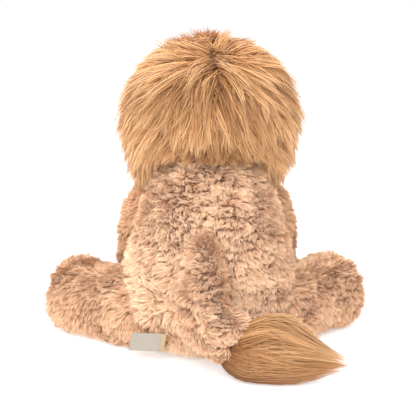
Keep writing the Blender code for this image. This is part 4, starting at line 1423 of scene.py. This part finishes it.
@dataclass
class Mane:
    """The long fur of the head, parted at the back and standing out round the face."""

    shop: Workshop
    locks: int = 2900
    each: int = 22
    steps: int = 7
    fur_length: float = 54 * MM
    half_sizes: tuple[float, float, float] = (81 * MM, 70 * MM, 74 * MM)
    squareness: float = 1.93
    dome_middle: tuple[float, float, float] = (0.0, 2 * MM, 225 * MM)
    cap_sizes: tuple[float, float, float] = (73 * MM, 62 * MM, 56 * MM)
    cap_middle: tuple[float, float, float] = (0.0, -9 * MM, 236 * MM)
    crown: tuple[float, float, float] = (-1.5 * MM, 34 * MM, 288 * MM)
    face_rise: float = 232 * MM
    face_radius: float = 49 * MM
    front_floor: float = 186 * MM  # the lowest that hair is rooted under the chin
    back_floor: float = 197.5 * MM  # the lowest that hair is rooted elsewhere
    ear_bare: tuple[float, float, float] = (57 * MM, 263 * MM, 15 * MM)
    ear_short: tuple[float, float, float] = (55 * MM, 262 * MM, 27 * MM)

    @staticmethod
    def _by_ear(points: Array, spot: tuple[float, float, float]) -> Array:
        """Return which points are within an ear's spot, given as across, height and reach."""
        across, height, reach = spot
        return np.hypot(np.abs(points[:, 0]) - across, points[:, 2] - height) < reach

    def _shrink(self, points: Array) -> Array:
        """Return how much narrower the mane is than its dome, low down."""
        low = np.clip((214 * MM - points[:, 2]) / (50 * MM), 0.0, 1.0)
        return 1 - 0.09 * low * low * (3 - 2 * low)

    def level(self, points: Array) -> Array:
        """Return how far out points are, as a share of the mane's outer surface."""
        off = points - np.array(self.dome_middle)
        off[:, 2] = np.maximum(off[:, 2], 0.0)
        sizes = np.array(self.half_sizes) * np.ones((len(points), 1))
        sizes[:, :2] *= self._shrink(points)[:, None]
        shares = np.abs(off / sizes) ** self.squareness
        return shares.sum(axis=1) ** (1 / self.squareness)

    def to_level(self, points: Array, wanted: Array) -> Array:
        """Return points moved in or out to a share of the mane's outer surface."""
        middle = np.array(self.dome_middle) * np.ones((len(points), 1))
        middle[:, 2] = np.minimum(points[:, 2], middle[:, 2])
        share = wanted / np.maximum(self.level(points), 1e-6)
        return middle + (points - middle) * share[:, None]

    def rise(self, points: Array) -> Array:
        """Return the way out of the mane at points."""
        off = points - np.array(self.dome_middle)
        off[:, 2] = np.maximum(off[:, 2], 0.0)
        sizes = np.array(self.half_sizes)
        return unit(np.sign(off) * np.abs(off / sizes) ** (self.squareness - 1) / sizes)

    def _roots(self, count: int, dice: np.random.Generator) -> Array:
        """Return places on the cap where locks are rooted."""
        ways = unit(dice.normal(0.0, 1.0, (count * 4, 3)))
        points = np.array(self.cap_middle) + ways * np.array(self.cap_sizes)
        lift = (points[:, 2] - self.cap_middle[2]) * self.cap_sizes[0] / self.cap_sizes[2]
        from_face = np.hypot(points[:, 0], lift)
        ahead = points[:, 1] < -10 * MM
        lowest = np.where(points[:, 1] < -18 * MM, self.front_floor, self.back_floor)
        kept = ~(ahead & (from_face < self.face_radius)) & (points[:, 2] > lowest)
        kept &= ~(self._by_ear(points, self.ear_bare) & (points[:, 1] < -16 * MM))
        return points[kept][:count]

    def _way(self, points: Array, face: Array, t: float, loose: Array) -> Array:
        """Return the way that hairs run at points.

        Args:
            points: where the hairs are.
            face: how much each belongs to the fur round the face.
            t: how far along the hairs the points are.
            loose: how little each hair heeds its weight.

        Returns:
            A way of length 1 for each.
        """
        out = self.rise(points)
        crown = np.array(self.crown)
        away = points - crown
        away = unit(away - out * np.einsum("nj,nj->n", away, out)[:, None])
        part = points[:, 0] - crown[0]
        high = np.clip((points[:, 2] - 226 * MM) / (50 * MM), 0.0, 1.0)
        behind = np.clip(points[:, 1] / (25 * MM), 0.0, 1.0)
        aside = np.sign(part) * np.exp(-(part / (17 * MM)) ** 2) * high * behind
        away = unit(away + ACROSS * (aside * 0.6)[:, None])
        radial = points * np.array([1.0, 0.0, 1.0]) - np.array([0.0, 0.0, self.face_rise])
        radial = unit(radial) + np.array([0.0, 0.75, 0.0])
        radial = unit(radial - out * np.einsum("nj,nj->n", radial, out)[:, None])
        way = away * (1 - face)[:, None] + radial * face[:, None]
        weight = (0.26 + 0.95 * t) * (1 - loose) * (1 - 0.35 * face)
        return unit(unit(way) - UP * weight[:, None])

    def _length(self, roots: Array, dice: np.random.Generator) -> Array:
        """Return each lock's length, cut where it would hang under the mane's hem."""
        length = self.fur_length * dice.uniform(0.82, 1.10, len(roots))
        ear = self._by_ear(roots, self.ear_short) & (roots[:, 1] < -14 * MM)
        length = np.where(ear, length * 0.36, length)
        chin = (roots[:, 1] < -20 * MM) & (roots[:, 2] < 208 * MM)
        length = np.where(chin, length * 0.45, length)
        wide = np.clip(np.abs(roots[:, 0]) / (62 * MM), 0.0, 1.0)
        behind = np.clip((roots[:, 1] + 10 * MM) / (40 * MM), 0.0, 1.0)
        aside = np.clip(-roots[:, 0] / (60 * MM), 0.0, 1.0)
        hem = 155 + 48 * behind * (1 - wide**2.4) - 12 * behind * aside**2
        hem = (hem + 4 * dice.normal(0, 1, len(roots))) * MM
        return np.clip(np.minimum(length, roots[:, 2] - hem + 5 * MM), 15 * MM, None)

    def _lines(self, roots: Array, dice: np.random.Generator) -> Array:
        """Return the middle line of each lock, root first."""
        count, fine = len(roots), 14
        from_face = np.hypot(roots[:, 0], roots[:, 2] - self.face_rise)
        face = 1 - np.clip((from_face - self.face_radius - 4 * MM) / (24 * MM), 0.0, 1.0)
        face = face * np.clip((10 * MM - roots[:, 1]) / (35 * MM), 0.0, 1.0)
        loose = np.clip(dice.normal(0.0, 0.16, count), -0.3, 0.9)
        ridge = np.clip((roots[:, 2] - 268 * MM) / (18 * MM), 0.0, 1.0)
        stray = dice.uniform(0, 1, count) < 0.20 + 0.30 * ridge
        loose = np.where(stray, dice.uniform(0.3, 0.95, count), loose)
        lift = dice.uniform(0.78, 0.98, count) + 0.05 * face
        lift = np.where(stray, dice.uniform(1.0, 1.19, count) - 0.03 * ridge, lift)
        ease = np.where(stray, dice.uniform(0.85, 1.2, count), dice.uniform(1.3, 2.4, count))
        start = self.level(roots)
        turn = dice.normal(0.0, 0.16, (count, 3))
        length = self._length(roots, dice) * np.where(stray, 1 - 0.5 * ridge, 1.0)
        lines = [roots]
        here = roots
        for step in range(1, fine):
            t = step / (fine - 1)
            way = unit(self._way(here, face, t, loose) + turn * (0.4 + t))
            here = here + way * (length / (fine - 1))[:, None]
            wanted = start + (lift - start) * (1 - (1 - t) ** ease)
            here = self.to_level(here, wanted)
            lines.append(here)
        return np.stack(lines, axis=1)

    def _fur(self, lines: Array, each: int, seed: int) -> Strands:
        """Grow each lock's strands about its middle line."""
        dice = np.random.default_rng(seed)
        locks, fine, _ = lines.shape
        count = locks * each
        lock = np.repeat(np.arange(locks), each)
        t = np.linspace(0.0, 1.0, self.steps)[None, :] * dice.uniform(0.68, 1.0, (count, 1))
        place = t * (fine - 1)
        low = np.clip(place.astype(int), 0, fine - 2)
        part = (place - low)[..., None]
        held = lines[lock]
        row = np.arange(count)[:, None]
        middle = held[row, low] * (1 - part) + held[row, low + 1] * part
        out = self.rise(lines[:, 0])[lock][:, None, :]
        spread = dice.normal(0.0, 3.1 * MM, (count, 1, 3))
        spread = spread - out * (spread * out).sum(axis=2, keepdims=True) * 0.5
        tight = dice.uniform(0.62, 0.9, locks)[lock][:, None]
        close = (1 - tight * t**0.9)[..., None]
        bend = dice.normal(0.0, 1.2 * MM, (count, 1, 3)) * np.sin(3.0 * t)[..., None]
        fly = dice.normal(0.0, 1.4 * MM, (count, 1, 3)) * (t**2)[..., None]
        paths = middle + spread * close + bend + fly
        inside = self.level(paths[:, -1]) < 0.5
        taper = (1 - np.linspace(0, 1, self.steps) ** 2.4)[None, :]
        half = 0.40 * MM * dice.uniform(0.65, 1.3, (count, 1)) * taper
        tints = 0.57 + 0.26 * dice.normal(0, 1, locks)[lock] + dice.normal(0, 0.17, count)
        # Painted light and shade: locks rooted high on the crown are lighter, more so towards the
        # front, and locks low in the middle of the back are darker, where the mane shades itself.
        high = np.clip((lines[:, 0, 2] - 258 * MM) / (22 * MM), 0.0, 1.0)
        beyond = np.clip((40 * MM - lines[:, 0, 1]) / (20 * MM), 0.0, 1.0)
        inner = np.exp(-(lines[:, 0, 0] / (42 * MM)) ** 2) * (1 - high) * (lines[:, 0, 1] > 0)
        tints += (0.22 * high + 0.34 * high * beyond - 0.40 * inner)[lock]
        kept = ~inside
        return Strands(paths[kept], out[kept, 0], half[kept],
                       tints[kept], dice.normal(0.0, 0.6, count)[kept])

    def build(self) -> None:
        """Make the mane's cloth and fur, and set them on the head."""
        dice = np.random.default_rng(70)
        roots = self._roots(self.locks, dice)
        lines = self._lines(roots, dice)
        seam = self.crown[0]
        for side, word in ((1, "left"), (-1, "right")):
            name = "mane_%s_cloth" % word
            cloth = self.shop.add(name, self._cap_half(side, name), FUR_BACKING, "golden_fur")
            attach(cloth, "head")
            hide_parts("mane_%s_panel" % word)
            for place, end in (("back", 1), ("front", -1)):
                here = ((roots[:, 0] - seam) * side > 0) & ((roots[:, 1] + 4 * MM) * end > 0)
                grown = self._fur(lines[here], self.each, 80 + side + 3 * end)
                name = "mane_%s_%s_fur" % (word, place)
                fur = self.shop.add(name, grown.mesh(name), GOLDEN_FUR, "golden_fur")
                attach(fur, "head")

    def _cap_half(self, side: int, name: str) -> bpy.types.Mesh:
        """Return one half of the cap that the mane's roots are on.

        Args:
            side: 1 for the lion's left.
            name: the mesh's name.

        Returns:
            A closed thin shell round the face opening, from the seam to the side.
        """
        rows, columns = 56, 64
        turn = np.linspace(-math.pi / 2, math.pi / 2, columns)
        lean = np.linspace(0.0, 1.0, rows)
        wide_lean, wide_turn = grid(lean, turn)
        sizes, middle = np.array(self.cap_sizes), np.array(self.cap_middle)
        opening = math.asin((self.face_radius + MM) / sizes[0])
        back = math.radians(178)
        polar = opening + (back - opening) * wide_lean
        ways = np.stack([
            np.sin(polar) * np.cos(wide_turn) * side, -np.cos(polar), np.sin(polar) * np.sin(wide_turn)
        ], axis=1)
        outer = middle + ways * (sizes - 0.5 * MM)
        outer[:, 0] += side * 0.25 * MM
        lowest = 197 * MM - 9 * MM * np.clip((-14 * MM - outer[:, 1]) / (12 * MM), 0.0, 1.0)
        outer[:, 2] = np.maximum(outer[:, 2], lowest)
        inner = middle + ways * (sizes - 3.0 * MM)
        inner[:, 0] += side * 0.25 * MM
        inner[:, 2] = np.maximum(inner[:, 2], lowest + 2 * MM)
        return sheet_mesh(name, outer, inner, columns)


@dataclass
class Tuft:
    """The long fur at the tail's end."""

    shop: Workshop
    length: float = 94 * MM
    bearing: float = math.radians(18)
    base: tuple[float, float, float] = (-17.0, 107.0, 0.0)
    locks: int = 280
    each: int = 46

    def build(self) -> None:
        """Make the tuft's core and fur, and set them on the tuft."""
        heading = np.array([-math.cos(self.bearing), math.sin(self.bearing), 0.0])
        base = np.array(self.base) * MM
        stations = np.array([-0.16, -0.05, 0.03, 0.10, 0.18, 0.34, 0.46, 0.60, 0.74, 0.86, 0.96,
                             1.10])
        girths = np.array([11.0, 19.0, 24.5, 27.5, 29.0, 29.0, 27.5, 23.5, 17.5, 12.0, 8.0, 3.0]) * MM
        heights = np.array([34.0, 32.5, 31.0, 30.0, 29.5, 29.5, 28.5, 26.5, 24.5, 23.0, 22.0,
                            21.0]) * MM
        across = np.cross(heading, UP)

        def guide(off: Array, turn: Array, reach: Array, t: Array) -> Array:
            """Return points of hairs that run out of the tail's end to a point."""
            gone = -0.14 + (reach + 0.14) * t
            girth = np.interp(gone, stations, girths) * np.clip(off, 0.02, 1 + 0.35 * t**2)
            middle = np.interp(gone, stations, heights)
            side = across * (np.cos(turn) * girth)[:, None]
            lift = np.sin(turn) * girth
            slant = lift * 0.5 * np.exp(-np.maximum(gone, 0.0) / 0.3)
            rise = UP * (middle + lift)[:, None]
            return base + heading * (self.length * gone + slant)[:, None] + side + rise

        dice = np.random.default_rng(60)
        off = dice.uniform(0.15, 1.0, self.locks) ** 0.5
        off = np.where(dice.uniform(0, 1, self.locks) < 0.12, off * 1.2, off)
        turn = dice.uniform(0, math.tau, self.locks)
        reach = dice.uniform(0.5, 1.10, self.locks)
        # The tone paints light and shade: locks on the top of the tuft lighter and those underneath
        # darker, and the whole tuft darker than the mane.
        grown = Locks(guide, half_width=0.34 * MM).grow(
            off, turn, reach, np.array([0.08, 0.17, 0.06]), self.each, 61,
            lambda p: unit(p - (base + heading * 0.04 + UP * 0.01)),
            0.5 * np.sin(turn) - 0.42, 0.5,
        )
        fur = self.shop.add("tail_tuft_fur", grown.mesh("tail_tuft_fur"), GOLDEN_FUR, "golden_fur")
        spine: Spine = []
        for gone in (0.86, 0.74, 0.52, 0.34, 0.16, 0.02, -0.08):
            middle = base + heading * self.length * gone
            middle = middle + UP * float(np.interp(gone, stations, heights))
            inner = 0.0 if gone in (0.86, -0.08) else 0.78
            girth = inner * float(np.interp(gone, stations, girths))
            spine.append((middle, girth, girth))
        mesh = skin_mesh("tail_tuft_core", Form(spine, across), 40, 48, 0.0)
        core = self.shop.add("tail_tuft_core", mesh, FUR_BACKING, "golden_fur")
        for piece in (fur, core):
            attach(piece, "tuft")
        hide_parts("tail_tuft")


@dataclass
class Label:
    """The blank folded ribbon in the seam beside the seat."""

    shop: Workshop
    length: float = 35 * MM
    height: float = 17 * MM
    thickness: float = 0.9 * MM
    bearing: float = math.radians(24)
    slant: float = math.radians(4)
    middle: tuple[float, float, float] = (60.5 * MM, 58.0 * MM, 22.0 * MM)

    def build(self) -> None:
        """Make the ribbon and its folded edge, and set them on the body."""
        middle = np.array(self.middle)
        outward = np.array([math.sin(self.bearing), math.cos(self.bearing), 0.0])
        along = np.cross(UP, outward)
        run = along * math.cos(self.slant) + UP * math.sin(self.slant)
        rise = np.cross(outward, run)
        for name, first, last, finish in (
            ("label_ribbon", -0.5, 0.36, LABEL_RIBBON), ("label_fold", 0.36, 0.5, LABEL_EDGE),
        ):
            rows, columns = 24, 14
            u = np.linspace(first, last, rows)
            v = np.linspace(-0.5, 0.5, columns)
            grid_u, grid_v = grid(u, v)
            curl = 2.2 * MM * (grid_u * 2) ** 2 * 0.5 + 1.0 * MM * grid_v
            flat = middle + run * (grid_u * self.length + grid_v * 5 * MM)[:, None]
            flat = flat + rise * (grid_v * self.height)[:, None]
            front = flat + outward * (3.4 * MM + curl + self.thickness / 2)[:, None]
            back = front - outward * self.thickness
            mesh = sheet_mesh(name, front, back, columns)
            piece = self.shop.add(name, mesh, finish, "cream_ribbon")
            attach(piece, "torso")
            if name == "label_ribbon":
                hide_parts("care_label")


LIGHTS = (  # each light's name, place and side in metres, and power in watts
    ("key_light", (0.3, 1.45, 1.0), 0.8, 19.0),
    ("fill_light", (0.4, 1.7, 0.6), 1.2, 8.0),
    ("front_light", (0.5, -1.3, 1.0), 1.2, 14.0),
)


@dataclass
class Studio:
    """The pale sweep, the soft lights and the camera behind the lion."""

    shop: Workshop
    distance: float = 1.06
    elevation: float = math.radians(10)
    bearing: float = math.radians(4)
    lens: float = 95.0
    target: tuple[float, float, float] = (0.002, 0.0, 0.1363)

    def build(self) -> None:
        """Make the floor, the lights and the camera."""
        scene = bpy.context.scene
        scene.view_settings.view_transform = "Standard"
        scene.view_settings.look = "None"
        side = 12.0
        mesh = bpy.data.meshes.new("floor")
        corners = [(-side, -side, 0), (side, -side, 0), (side, side, 0), (-side, side, 0)]
        mesh.from_pydata(corners, [], [(0, 1, 2, 3)])
        floor = put("floor", mesh, self.shop.finish(PALE_FLOOR))
        world = bpy.data.worlds.new("studio")
        world.use_nodes = True
        ground = world.node_tree.nodes["Background"]
        ground.inputs["Color"].default_value = (1.0, 1.0, 1.0, 1.0)
        ground.inputs["Strength"].default_value = 1.0
        scene.world = world
        for name, place, size, power in LIGHTS:
            light = bpy.data.lights.new(name, "AREA")
            light.size = size
            light.energy = power
            lamp = bpy.data.objects.new(name, light)
            lamp.location = place
            way = Vector((0, 0, 0.13)) - Vector(place)
            lamp.rotation_euler = way.to_track_quat("-Z", "Y").to_euler()
            scene.collection.objects.link(lamp)
        seen = bpy.data.cameras.new("camera")
        seen.lens = self.lens
        seen.sensor_width = 36.0
        camera = bpy.data.objects.new("camera", seen)
        flat = math.cos(self.elevation)
        away = Vector((
            math.sin(self.bearing) * flat, math.cos(self.bearing) * flat, math.sin(self.elevation)
        ))
        camera.location = Vector(self.target) + away * self.distance
        camera.rotation_euler = (-away).to_track_quat("-Z", "Y").to_euler()
        scene.collection.objects.link(camera)
        scene.camera = camera


SHOULDER = (50.0, -29.0, 171.0)  # the left shoulder's hinge, in millimetres
ARM_RUN = (15.0, -77.0, -129.0)  # the left arm's way down from there
HIP_HEIGHT = 80 * MM
HIP_BEND = 22 * MM  # how far either side of the hinge a leg bends
TAIL_BEND = ((11.2, 62.0, 135.7), (13.0, 92.0, 95.0))  # from where to where the tail bends
MIRROR = {1: np.array([1.0, 1.0, 1.0]), -1: np.array([-1.0, 1.0, 1.0])}


def limbs(shop: Workshop) -> list[Limb]:
    """Return the arms, the legs and the tail, each with its bend."""
    lion = shop.lion
    made = []
    for side, word in ((1, "left"), (-1, "right")):
        hinge = SHOULDER * MIRROR[side] * MM
        arm = lion.arm(side)
        down = unit(ARM_RUN * MIRROR[side])
        # The last number paints shade: the arms' pile much darker than the body's, as they sit in
        # shade.
        made.append(Limb(
            shop, "arm_" + word, arm,
            tuple("arm_%s_%s" % (word, p) for p in ("outer_panel", "inner_panel", "filling")),
            hinge - down * 12 * MM, hinge + down * 42 * MM, 32000, 21 + side, Comb.TO_PAW, -0.40,
        ))
    for side, word in ((1, "left"), (-1, "right")):
        way = lion.leg_way(side)
        # The last number paints shade: the legs' pile a little darker than the body's.
        hinge = lion.leg_crease(side) + UP * HIP_HEIGHT
        made.append(Limb(
            shop, "leg_" + word, lion.leg(side),
            tuple("leg_%s_%s" % (word, p)
                  for p in ("outer_panel", "inner_panel", "sole", "filling")),
            hinge - way * HIP_BEND, hinge + way * HIP_BEND, 44000, 25 + side, Comb.DOWN, -0.08,
        ))
    made.append(Limb(
        shop, "tail", lion.tail(), ("tail_outer_panel", "tail_inner_panel", "tail_filling"),
        np.array(TAIL_BEND[0]) * MM, np.array(TAIL_BEND[1]) * MM, 32000, 29,
        Comb.TO_TIP, 0.04,
    ))
    return made


def main() -> None:
    """Build the lion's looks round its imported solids."""
    logging.basicConfig(level=logging.INFO, format="%(message)s")
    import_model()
    shop = Workshop(Lion())
    Studio(shop).build()
    Torso(shop).build()
    Neck(shop).build()
    for limb in limbs(shop):
        limb.build()
    Head(shop).build()
    Mane(shop).build()
    Tuft(shop).build()
    Label(shop).build()
    washer = shop.finish(WASHER_PLASTIC)
    for word in ("left", "right"):
        node = bpy.data.objects["eye_washer_" + word]
        for place in node.material_slots:
            place.link = "OBJECT"
            place.material = washer
    LOG.info("pieces: %d", len(shop.pieces))


if __name__ == "__main__":
    main()
